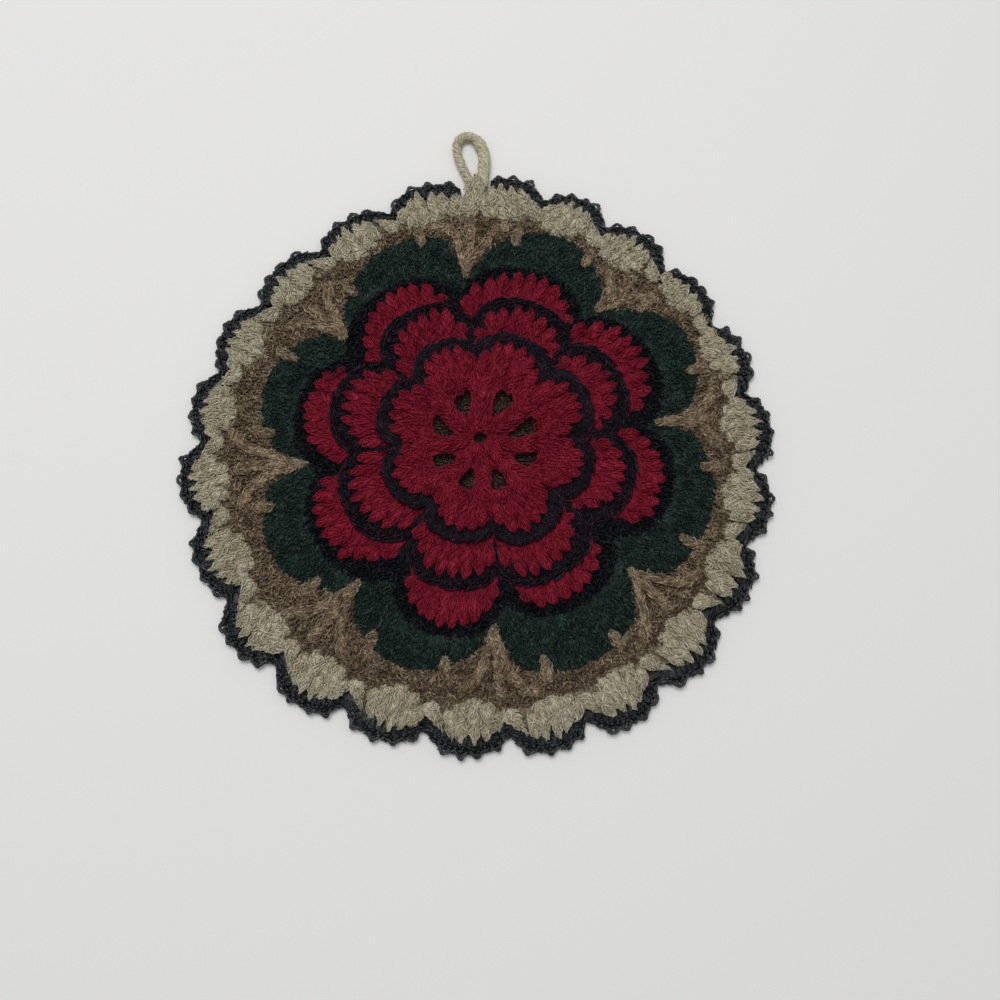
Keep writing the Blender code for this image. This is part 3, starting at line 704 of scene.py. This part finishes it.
def dark_round(edge, red, above, height, drop=0.5, chain=True):
    """The dark round: short strands between and behind the red teeth, and a chain outside.

    Its outer rim lies `drop` mm lower.
    """
    yarn = Yarn()
    middle = float(np.mean(edge.crowns))
    behind = lambda b: np.clip(0.6 * (red.radius(b, above(b)) - above(b)), 0, 4.4)
    inner = lambda b: np.maximum(red.radius(b, above(b)) - behind(b), above(b) - 1.0)
    outer = lambda b: edge.radius(b) - (1.1 if chain else 0.5) + draw.normal(0, 0.3, len(b))
    bearing, radius, hand = scatter(edge.clefts.min() - 6, middle + 3, inner, outer, 0.95, 1.6)
    # A wave sets the strands' heights, and the higher ones are painted lighter and the lower ones darker, as
    # light and shade.
    tilt = 0.5 * np.cos(radius * 2.1 + bearing * 0.5)
    rim = np.clip(1 - (edge.radius(bearing) - radius) / 3, 0, 1)
    level = height - 0.5 + tilt * 0.4 - drop * rim
    nap(yarn, bearing, radius, level, hand * 0.6, stray=0.5, run=2.5, tone=tilt * 0.1, uneven=0.2)
    if not chain:
        return yarn
    lane = np.linspace(0, 360, int(middle * 2 * math.pi / 2.2), endpoint=False)
    half = math.degrees(1.5 / middle)
    for out, lift in ((-0.8, -0.3), (-1.9, -0.1)):
        ends = [lane - half, lane, lane + half]
        stray = draw.normal(0, 0.25, len(lane))
        radii = [edge.radius(b) + out + shift + stray for b, shift in zip(ends, (-0.6, 0.0, 0.6))]
        path = polar_path(ends, radii, (height + lift - 0.5, height + lift, height + lift - 0.5))
        yarn.lay(path, 0.58, uneven=0.14, wobble=0.25)
    return yarn


def petal_stitches(red, above, root_height, tip_height, pitch):
    """The fans of a tier of petals, from under the tier above to their pointed teeth."""
    yarn = Yarn()
    bearing, tip, crown = red.tips()
    bearing = bearing + draw.normal(0, 0.25, bearing.shape)
    tip = tip + draw.normal(0, 0.4, tip.shape) - 0.3
    root_bearing = crown + (bearing - crown) * 0.96
    hidden = above(root_bearing)
    shown = tip - hidden > 2.8
    bearing, tip, root_bearing, hidden = (part[shown] for part in (bearing, tip, root_bearing, hidden))
    span = tip - hidden
    top = root_height + (tip_height - root_height) * np.clip(span / 7.0, 0.7, 1.0)
    middle_height = root_height + 0.6 + (top - root_height) * 0.65
    path = polar_path(
        (root_bearing, root_bearing, (root_bearing + bearing) / 2, bearing, bearing),
        (np.minimum(hidden - 2.2, tip - 6.0), hidden + 0.3, hidden + span * 0.35, hidden + span * 0.72, tip),
        (root_height + 0.6, root_height + 0.9, middle_height, top + 0.6, top + 0.3),
    )
    widths = (pitch, pitch * 1.1)
    posts(yarn, path, widths, spread=0.04, point=0.26, blunt=0.2, narrow=1.15, **RED_POSTS)
    return yarn


def flower_hub(yarn):
    """The eight spokes, the webs that end the gaps, and the ring round the hole at the hub."""
    places = np.array([2.6, 7.0, 12.0, 16.0, 20.0, 25.0])
    middle, half = gap_span(places)
    after = np.roll(middle, -1, axis=0)
    after[-1] += 360
    spokes = (middle + half + after - np.roll(half, -1, axis=0)) / 2
    path = polar_path(list(spokes.T), places, (7.0, 7.9, 8.4, 8.6, 8.8, 9.0))
    posts(
        yarn, path, (4.4, 8.6), 0.48, run=3.4, sweep=1.0, rise=0.4, point=0.02, blunt=0.9, steps=18, core=8
    )
    # The webs are painted darker, as shade in the grooves beside the spokes.
    web = polar_path([GAPS[0]] * 3, (3.0, 6.0, GAPS[1] - 0.2), (6.7, 6.9, 6.6))
    posts(yarn, web, (2.2, 5.0), tone=-0.2, spread=0.04, point=0.15, blunt=0.7)
    # The ring round the hole and the strands about it are painted darker, as shade at the hole.
    ring = polar(np.arange(0, 360, 30), 3.6, 5.8)
    yarn.lay(ring[None], 1.2, tone=-0.25, steps=40, sides=8, closed=True, wobble=0.25)
    around = np.arange(0, 360, 11.0)
    for out, height in ((3.2, 6.7), (4.4, 7.2), (5.8, 7.2)):
        nap(yarn, around + out * 5, out, height, 0.0, stray=0.9, run=2.0, tone=-0.1, bends=4)


def flower_fans(yarn):
    """The arches outside the gaps, the fans of the eight petals, and the clefts between them."""
    around = np.arange(0, 360, 3.4)
    lean = np.where(np.arange(len(around)) % 2, 1.0, 1.9)
    for out, height in ((0.0, 7.5), (1.2, 8.1), (2.4, 8.5)):
        radius = gap_end(around) + out
        nap(yarn, around, radius, height, lean, stray=0.3, run=3.0, thick=0.5, tone=-0.02, bends=4)
    bearing, tip, _ = FLOWER_RED.tips()
    bearing = bearing + draw.normal(0, 0.4, bearing.shape)
    tip = tip + draw.normal(0, 0.35, tip.shape) - 0.5
    base = gap_end(bearing)
    radii = (base, base + (tip - base) * 0.35, base + (tip - base) * 0.75, tip)
    path = polar_path([bearing] * 4, radii, (7.9, 8.9, 9.4, 9.1))
    posts(yarn, path, (3.3, 6.1), blunt=0.12, steps=14, **RED_POSTS)
    # The clefts are painted darker, as shade in the grooves between the petals.
    clefts = FLOWER_RED.rows[:, 0] - 1.2
    ends = np.minimum(FLOWER_RED.rows[:, 1], np.roll(FLOWER_RED.rows[:, 5], 1))
    base = gap_end(clefts)
    path = polar_path([clefts] * 3, (base, (base + ends) / 2, ends + 0.3), (7.9, 8.2, 7.7))
    posts(yarn, path, (3.0, 4.2), cover=1.0, tone=-0.2, steps=9)


LEAF_ROW, BROWN_ROW = 6.4, 5.0  # mm from one round of stitches to the next
LEAF_RIBS = 106  # tall stitches in the leaf round


def leaf_stitches():
    """The soft nap of the green leaves, in low rounds."""
    yarn = Yarn()
    outer = lambda b: leaf_edge(b) - 0.4
    inner = lambda b: OUTER.radius(b) - 2.0
    bearing, radius, hand = scatter(60, 92, inner, outer, 0.92, 1.9)
    row = np.cos((leaf_edge(bearing) - radius) / LEAF_ROW * 2 * math.pi)
    rib = np.cos(np.radians(bearing * LEAF_RIBS))
    shown = np.clip((radius - OUTER.radius(bearing)) / 3, 0, 1)
    # Painted light and shade: raised ribs are made lighter, and the lower stitches between ribs and rows
    # darker.
    height = 5.3 + 0.6 * shown - 0.12 * row + 0.18 * rib
    nap(yarn, bearing, radius, height, hand * 0.5, stray=0.4, thick=0.5, tone=0.11 * rib - 0.07 * row)
    return yarn


def long_spikes(yarn):
    """Three tall stitches to each spike between two leaves: one down its middle, one along each side."""
    starts, tips, firsts, first_mms, _, _, lasts, last_mms = np.array(LEAVES, float).T
    lasts, last_mms = np.roll(lasts, 1), np.roll(last_mms, 1)
    lasts[0] -= 360
    for shoulder, shoulder_mm, inset, short, widths in (
        ((firsts + lasts) / 2, (first_mms + last_mms) / 2, 0.0, 0.0, (5.0, 3.6)),
        (firsts, first_mms, -2.3, 2.5, (5.6, 2.0)),
        (lasts, last_mms, 2.3, 2.5, (5.6, 2.0)),
    ):
        base = shell_root(shoulder) - 1.5
        near_tip = shoulder * 0.15 + starts * 0.85
        path = polar_path(
            (shoulder - inset * 2, shoulder - inset * 0.2, shoulder + inset, near_tip, starts),
            (base, (base + shoulder_mm) / 2 + 1, shoulder_mm, (shoulder_mm + tips * 2) / 3, tips + short),
            (5.9, 6.5, 6.8, 6.9, 6.7),
        )
        posts(
            yarn, path, widths, sweep=1.5, tone=0.13, spread=0.04, rise=0.35, point=0.15, blunt=0.5,
            sway=0.22, steps=14, **SPIKE_POSTS,
        )


def short_spikes(yarn):
    """The short spikes that lie over the leaves' edges."""
    bearing, tip = np.array(SHORT_SPIKES, float).T
    base = np.maximum(tip + 8.0, leaf_edge(bearing) + 3.0)
    bend = draw.normal(0, 0.5, len(bearing))
    radii = (base, (base + tip) / 2, tip - 0.3)
    path = polar_path((bearing + bend, bearing, bearing), radii, (6.1, 6.8, 6.5))
    posts(
        yarn, path, (4.8, 4.2), 0.42, sweep=1.3, cover=1.5, tone=0.14, spread=0.05, rise=0.4, blunt=0.45,
        sway=0.2, steps=9, **SPIKE_POSTS,
    )


def brown_stitches():
    """Rounds of curly brown stitches, and the spikes that reach down between and over the leaves."""
    yarn = Yarn()
    inner, outer = lambda b: leaf_edge(b) - 0.2, lambda b: shell_root(b) + 1.2
    bearing, radius, hand = scatter(65, 101, inner, outer, 0.9, 1.5)
    inside = shell_root(bearing) - radius
    row = np.cos(inside / BROWN_ROW * 2 * math.pi)
    height = 5.2 + 0.5 * np.clip(inside / 2.5, 0, 1) - 0.3 * row + 0.12 * hand
    # Painted shade: the lower rows are made darker, and the whole nap a little darker.
    tone = -0.1 * row - 0.04
    nap(yarn, bearing, radius, height, hand * 0.6, stray=0.55, run=2.9, tone=tone, curl=0.3, sway=0.15)
    long_spikes(yarn)
    short_spikes(yarn)
    return yarn


def on_shells(places):
    """The shell of each of the same places on every shell, and the places."""
    return np.repeat(np.arange(SHELL_EDGE.count), len(places)), np.tile(places, SHELL_EDGE.count)


FAN_FOOT = 8.8  # radius of the round foot of a shell


def shell_fans(yarn):
    """Five tall stitches fanned from each shell's round foot to pointed tips."""
    lobe, across = on_shells((-0.86, -0.55, -0.24, 0.07, 0.38))
    lean = (across + 0.24) / 0.62
    count = len(lobe)
    across = across + draw.normal(0, 0.025, count)
    inset = 4.0 + 1.5 * np.abs(lean) + draw.normal(0, 0.3, count)
    tip = SHELL_EDGE.beside(lobe, across, -inset, 3.2)
    swing = lean * math.radians(64)
    foot = FOOT_MM[lobe] + FAN_FOOT - FAN_FOOT * np.cos(swing) + draw.normal(0, 0.3, count)
    turn = np.degrees(FAN_FOOT * np.sin(swing) / foot)
    root = polar(FAN_MIDDLE[lobe] + turn * 0.97, foot + 0.3, 4.4)
    rim = polar(FAN_MIDDLE[lobe] + turn, foot + 2.2, 5.8)
    rise, shoulder = rim + (tip - rim) * 0.35, rim + (tip - rim) * 0.7
    rise[:, 2], shoulder[:, 2] = 5.7, 4.8
    # Painted highlight: the strands near the shells' pointed tips are made lighter.
    posts(
        yarn, np.stack([root, rim, rise, shoulder, tip], 1), (6.3, 4.8), 0.43, run=3.0, sweep=1.1,
        cover=1.55, rise=0.5, point=0.23, blunt=0.16, heel=0.14, sway=0.22, uneven=0.16, steps=15,
        chevron=0.2, narrow=0.8, tip_highlight=0.25,
    )


def shell_nubs(yarn):
    """The puff at each shell's end, and the small tip that it leans back to."""
    bearing = np.roll(SHELL_STARTS, -1) % 360
    count = len(bearing)
    foot = foot_radius(bearing) + 3.4
    tip = SHELL_EDGE.beside(np.arange(count), np.full(count, 0.76), draw.normal(-5.6, 0.3, count), 3.1)
    root, rim = polar(bearing - 0.2, foot, 4.6), polar(bearing - 0.6, foot + 2.0, 6.1)
    end, neck = rim + (tip - rim) * 0.55, rim + (tip - rim) * 0.35
    end[:, 2], neck[:, 2] = 5.2, 4.8
    for path, widths, point, blunt, heel in (
        ((neck, (neck + tip) / 2, tip), (4.6, 4.0), 0.6, 0.12, 0.01),
        ((root, rim, (rim + end) / 2 + [0, 0, 0.4], end), (6.8, 6.0), 0.4, 0.55, 0.3),
    ):
        posts(
            yarn, np.stack(path, 1), widths, 0.43, sweep=1.3, cover=1.5, tone=0.05, point=point,
            blunt=blunt, heel=heel, sway=0.19, steps=9, narrow=0.7, **PUFF_POSTS,
        )


def shaded_shell_crevices(yarn):
    """Short strands in the crevice between each shell's last tall stitch and its puff, painted dark as shade
    in the crevice.
    """
    inner, outer = lambda b: shell_root(b) + 0.3, lambda b: shell_root(b) + 7
    bearing, radius, hand = scatter(88, 106, inner, outer, 1.1, 1.6)
    offset = turn_from(bearing[:, None], SHELL_STARTS)
    in_crevice = ((offset > -4.4) & (offset < -1.3)).any(1)
    bearing, radius, hand = (part[in_crevice] for part in (bearing, radius, hand))
    height = np.interp(radius - shell_root(bearing), (0, 8), (4.5, 3.8))
    nap(yarn, bearing, radius, height, hand * 0.4, stray=0.4, thick=0.43, tone=-0.38, uneven=0.14)


def neck_stitches(yarn):
    """Beige stitches between the last shell and the first, which hold the loop."""
    puffs = np.array([-6.0, -2.4, 1.4])
    path = polar_path((puffs, puffs, puffs * 0.95), (93.4, 97.5, 103.5), (4.7, 6.0, 4.8))
    stems = np.array([-2.9, -1.3, -0.1])
    ends = np.array([110.0, 113.0, 111.0])
    legs = polar_path((stems * 1.2, stems, stems), (99.0, 105.0, ends), (4.9, 5.2, 4.2))
    for path, widths, heel in ((legs, (4.0, 3.2), 0.01), (path, (6.8, 5.8), 0.3)):
        posts(
            yarn, path, widths, 0.45, sweep=1.2, cover=1.6, tone=0.03, spread=0.04, point=0.35, blunt=0.6,
            heel=heel, sway=0.18, **PUFF_POSTS,
        )


def on_edging(places, stray):
    """The same places on every shell, each strayed a little, without those at the loop's neck."""
    lobe, across = on_shells(places)
    across = across + draw.normal(0, stray, len(lobe))
    clear = clear_of_neck(SHELL_EDGE.edge(lobe, across)[0])
    return lobe[clear], across[clear]


def picot_legs(yarn):
    """The edging's legs, down between the shells' teeth."""
    lobe, across = on_shells((-0.97, -0.705, -0.395, -0.085, 0.225, 0.535, 0.9))
    _, depth = on_shells((-8.4, -8.0, -7.2, -7.2, -8.0, -8.4, -7.4))
    depth = depth + draw.normal(0, 0.3, len(lobe))
    clear = clear_of_neck(SHELL_EDGE.edge(lobe, across)[0])
    lobe, across, depth = lobe[clear], across[clear], depth[clear]
    height = 3.3 + np.where(across < -0.9, 1.4, 0.0)
    low = SHELL_EDGE.beside(lobe, across, depth, height)
    bend = SHELL_EDGE.beside(lobe, across, depth / 2 - 1.0, height)
    high = SHELL_EDGE.beside(lobe, across, -1.6, 2.4)
    posts(
        yarn, np.stack([high, bend, low], 1), (4.4, 2.2), 0.45, run=2.2, cover=1.0, spread=0.08, point=0.5,
        steps=6, core=5, bends=3,
    )


def picot_chain(yarn):
    """Lanes of short strands side by side along the edging."""
    per_shell = 15
    places = (np.arange(per_shell) + 0.5) * 2 / per_shell - 1
    # Columns: mm outside the edge, height, and how far from a shell's middle the lane starts.
    for lane, height, least in (
        (-5.3, 2.8, 0.85), (-4.4, 2.5, 0.7), (-3.5, 2.3, 0), (-2.5, 2.7, 0), (-1.5, 2.5, 0), (-0.8, 1.8, 0),
    ):
        lobe, across = on_edging(places[np.abs(places) >= least], 0.03)
        half = draw.uniform(0.9, 1.3, len(lobe)) / per_shell
        slope = draw.normal(0.3, 0.25, len(lobe))
        path = [
            SHELL_EDGE.beside(lobe, across + half * way, lane + slope * way, height + lift)
            for way, lift in ((-1, -0.5), (0, 0.2), (1, -0.5))
        ]
        yarn.lay(np.stack(path, 1), 0.52, uneven=0.16, sides=4, wobble=0.14)


def picot_peaks(yarn):
    """Low peaks along the edging's rim: two pointed loops, one in the other."""
    lobe, across = on_edging((-0.76, -0.34, 0.1, 0.52), 0.04)
    root = SHELL_EDGE.beside(lobe, across, -1.9, 2.1)
    for root_width, out, tip_width, thick in ((4.8, 0.1, 2.6, 0.62), (3.2, 0.7, 1.5, 0.5)):
        run = SHELL_EDGE.beside(lobe, across, out + draw.normal(0, 0.3, len(lobe)), 1.8) - root
        side = sideways(run)
        middle = (root_width + tip_width) / 2
        # Columns: share of the way to the tip, width there, height above the line to the tip.
        half = ((0.0, root_width, 0.0), (0.4, middle, 0.3), (0.8, tip_width, 0.3))
        back = [(share, -width, lift) for share, width, lift in half]
        path = [
            root + run * share + side * width / 2 + np.array([0, 0, lift])
            for share, width, lift in (*back, (1.0, 0, 0.3 * 0.4), *reversed(half))
        ]
        yarn.lay(np.stack(path, 1), thick, uneven=0.1, steps=8, sides=4)


def picot_stitches():
    """The thin dark edging: legs down between the teeth, a close chain, and low peaks."""
    yarn = Yarn()
    picot_legs(yarn)
    picot_chain(yarn)
    picot_peaks(yarn)
    return yarn


def loop_stitches():
    """The hanging loop: a cord of three plies, two strands to a ply, fuller down its right side."""
    yarn = Yarn()
    turns, steps = 11, 150
    route = np.array([(x, y, 2.3) for x, y in LOOP_ROUTE])
    path = curve_weights(len(route), steps, True) @ route
    right = np.clip((path[:, 0] + 3.5) / 3.0, 0, 1) * np.clip((path[:, 1] - 106) / 4, 0, 1)
    full = (0.88 + 0.34 * right)[:, None]
    side = sideways(np.roll(path, -1, axis=0) - np.roll(path, 1, axis=0))
    turn = 2 * math.pi * turns * np.arange(steps) / steps
    for ply in range(3):
        for beside in (-0.33, 0.33):
            wind = turn + ply * 2 * math.pi / 3 + beside
            level = side * np.cos(wind)[:, None] * 1.35 * full
            strand = path + (level + np.array([0, 0, 1.2]) * np.sin(wind)[:, None])
            yarn.lay(strand[None], 0.72 * full.T, uneven=0.08, sides=6, closed=True, wobble=0.13)
    # The core is painted a little darker, as shade between the plies.
    yarn.lay(path[None], 1.15 * full.T, tone=-0.1, sides=8, closed=True, wobble=0.03)
    return yarn


def backing_stitches():
    """Rounds of single crochet over the underside, and the face that shows in the flower's gaps."""
    yarn = Yarn()
    row, pitch, height = 4.6, 5.4, 1.05
    for inner in np.arange(2.0, 90.0, row):
        bearings = even_bearings(max(6, int(2 * math.pi * (inner + 2) / pitch))) + inner * 1.5
        outer = inner + row * 1.1
        bearings = bearings[outer < shell_root(bearings) + 1.0]
        swing = math.degrees(1.9 / outer)
        for way in (-swing, swing):
            turns = (bearings, bearings + way * 0.75, bearings + way)
            path = polar_path(turns, (inner, inner + row * 0.6, outer), (height, height - 0.15, height))
            yarn.lay(path, 1.15, uneven=0.2, steps=4, sides=4, wobble=0.12)
    bearing, radius, hand = scatter(6.0, 26.0, lambda b: 6.0, lambda b: 26.0, 0.9, 1.7)
    nap(yarn, bearing, radius, 4.0, hand * 0.6, stray=0.4, run=2.4, thick=0.42, tone=0.2)
    return yarn


# ------------ assembly


def ring_area(inner, outer):
    """Area in square metres between a radius in mm and an edge."""
    return float(np.mean(outer(even_bearings(720)) ** 2 - inner**2) * math.pi) * MM**2


def gaps_area():
    """Area in square metres of the flower's eight gaps."""
    radii, step = np.linspace(9, 23, 57, retstep=True)
    _, half = gap_span(radii)
    return float((np.radians(2 * half) * radii).sum() * step) * MM**2


def square(reach):
    return (2 * reach * MM, 2 * reach * MM)


def build_backing():
    fabric = ground(
        "backing_fabric", "backing_disc", OLIVE, 0.4, lambda b: shell_root(b) - 0.5, tops=(3.3, 3.3),
        thickness=2.6, count=240, rings=9,
    )
    stitches = backing_stitches().spin("backing_stitches", OLIVE)
    area = ring_area(0, shell_root)


def build_leaves():
    inner = 62.0
    fabric = ground(
        "leaf_fabric", "leaf_round", GREEN, inner, lambda b: leaf_edge(b) - 0.6, tops=(5.1, 5.6),
        thickness=1.3, count=360, rings=5, tone=-0.2,
    )
    leaf = leaf_stitches()
    pieces = [leaf.spin("leaf_stitches", GREEN), fuzz("leaf_fuzz", [leaf], 6500, 1.3, GREEN)]
    ring_area(inner, leaf_edge)


def build_brown_round():
    fabric = ground(
        "spike_fabric", "spike_round", BROWN, lambda b: leaf_edge(b) - 0.5, lambda b: shell_root(b) + 0.4,
        tops=(5.2, 4.5), thickness=1.3, count=360, tone=-0.12,
    )
    brown = brown_stitches()
    pieces = [brown.spin("spike_stitches", BROWN), fuzz("spike_fuzz", [brown], 10500, 1.7, BROWN)]


def build_petals(name, edge, red, above, inner, root_height, tip_height, pitch, edging, drop):
    """A tier of petals with its dark round; gives the red yarn, for its loose fibres."""
    outer = lambda b: np.maximum(red.radius(b, above(b)) - 3.4, above(b) - 0.5)
    fabric = ground(
        name + "_petal_fabric", name + "_petals", RED, inner, outer, tops=(root_height, tip_height - 0.5),
        thickness=1.2, rings=6, shape=1.4,
    )
    stitches = petal_stitches(red, above, root_height, tip_height, pitch)
    piece = stitches.spin(name + "_petal_stitches", RED)
    dark_fabric = ground(
        name + "_edging_fabric", name + "_petal_edging", edging,
        lambda b: np.maximum(outer(b) - 2.2, above(b) - 1.0), lambda b: edge.radius(b) - 0.9,
        tops=(tip_height - 1.0, tip_height - 0.6 - drop), thickness=0.9,
    )
    dark = dark_round(edge, red, above, tip_height - 0.2, drop, chain=edging is DARK)
    dark_piece = dark.spin(name + "_petal_edging_stitches", edging)
    square(outer(even_bearings(720)).max())
    ring_area(inner, outer)
    return stitches


def build_flower(reds):
    """The open flower with its dark round, and the loose fibres of all the red yarn."""
    inside = lambda b: 32.0
    red_edge = lambda b: FLOWER_RED.radius(b, inside(b))
    fabric = ground(
        "flower_fabric", "open_flower", RED, 2.7, lambda b: red_edge(b) - 3.2, tops=(6.6, 8.6),
        thickness=1.2, rings=20, keep=outside_gaps,
    )
    flower = Yarn()
    flower_hub(flower)
    flower_fans(flower)
    piece = flower.spin("flower_stitches", RED)
    dark_fabric = ground(
        "flower_edging_fabric", "open_flower_edging", DARK, lambda b: np.maximum(red_edge(b) - 4.4, 27.5),
        lambda b: FLOWER.radius(b) - 0.9, tops=(7.4, 7.8), thickness=0.9,
    )
    dark_piece = dark_round(FLOWER, FLOWER_RED, inside, 8.2).spin("flower_edging_stitches", DARK)
    red_fuzz = fuzz("red_fuzz", [*reds, flower], 11500, 1.2, RED)
    area = ring_area(2.0, lambda b: red_edge(b) - 1.6) - gaps_area()


def build_border():
    """The shells, the thin dark edging and the hanging loop."""
    picot_foot = lambda b: SHELL_EDGE.radius(b) - PICOT_WIDTH
    # The shell fabric is painted darker still, as shade in the crevices between the shells' stitches.
    fabric = ground(
        "shell_fabric", "shell_border", BEIGE, lambda b: shell_root(b) - 0.8,
        lambda b: picot_foot(b) - 4.4, tops=(4.3, 3.0), thickness=1.6, count=396, rings=6, tone=-0.5,
    )
    shells = Yarn()
    shaded_shell_crevices(shells)
    shell_fans(shells)
    shell_nubs(shells)
    neck_stitches(shells)
    pieces = [shells.spin("shell_stitches", BEIGE), fuzz("shell_fuzz", [shells], 9000, 1.5, BEIGE)]
    dark_fabric = ground(
        "picot_fabric", "picot_edging", NAVY, lambda b: picot_foot(b) - 5.0,
        lambda b: SHELL_EDGE.radius(b) - 1.0, tops=(2.2, 2.0), thickness=0.9, count=396, keep=outside_neck,
    )
    pieces += [picot_stitches().spin("picot_stitches", NAVY), dark_fabric]
    loop = loop_stitches()
    cord = loop.spin("hanging_loop_cord", BEIGE)
    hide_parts("hanging_loop")
    pieces += [cord, fuzz("hanging_loop_fuzz", [loop], 900, 1.1, BEIGE, width=0.06)]


def build_pot_holder():
    build_backing()
    build_leaves()
    build_brown_round()
    # Columns: name, dark round's edge, red teeth, edge of the tier above, inner radius, heights of
    # root and tip, pitch of the teeth, the dark round's yarn, how far its rim drops.
    tiers = (
        ("outer", OUTER, OUTER_RED, MIDDLE.radius, 38.0, 5.0, 7.5, 5.3, DUSK, 1.5),
        ("middle", MIDDLE, MIDDLE_RED, FLOWER.radius, 31.0, 5.2, 8.0, 5.0, DARK, 0.5),
    )
    build_flower([build_petals(*tier) for tier in tiers])
    build_border()


# ------------ stage


def add_floor():
    """A pale table that the pot holder lies on."""
    reach = 6.0
    corners = [(-reach, -reach, 0), (reach, -reach, 0), (reach, reach, 0), (-reach, reach, 0)]
    mesh = bpy.data.meshes.new("floor")
    mesh.from_pydata(corners, [], [(0, 1, 2, 3)])
    floor = add_object("floor", mesh)
    floor.location.z = -0.0002
    material, tree, shader = new_material("floor_look")
    look = {"Base Color": linear((228, 226, 223)), "Roughness": 0.7, "Specular IOR Level": 0.2}
    plug(tree, shader, look)
    mesh.materials.append(material)


def add_lights():
    """A soft round lamp overhead, and a dim even sky."""
    data = bpy.data.lights.new("overhead", "AREA")
    data.shape = "DISK"
    data.size = 0.9
    data.energy = 10.5
    lamp = add_object("overhead", data)
    lamp.location = (-0.2, 0.4, 1.3)
    lamp.rotation_euler = (-lamp.location).to_track_quat("-Z", "Y").to_euler()
    world = bpy.data.worlds.new("studio")
    world.use_nodes = True
    plug(world.node_tree, world.node_tree.nodes["Background"], {0: (0.95, 0.98, 1.0, 1), 1: 0.5})
    bpy.context.scene.world = world
    bpy.context.scene.view_settings.view_transform = "Standard"


def add_camera():
    data = bpy.data.cameras.new("camera")
    data.sensor_width = 36.0
    data.lens = 36.0
    data.clip_start = 0.01
    camera = add_object("camera", data)
    camera.location = [v * MM for v in CAMERA_PLACE]
    camera.rotation_euler = (math.radians(CAMERA_TILT), 0, 0)
    bpy.context.scene.camera = camera


add_camera()
add_floor()
add_lights()
build_pot_holder()
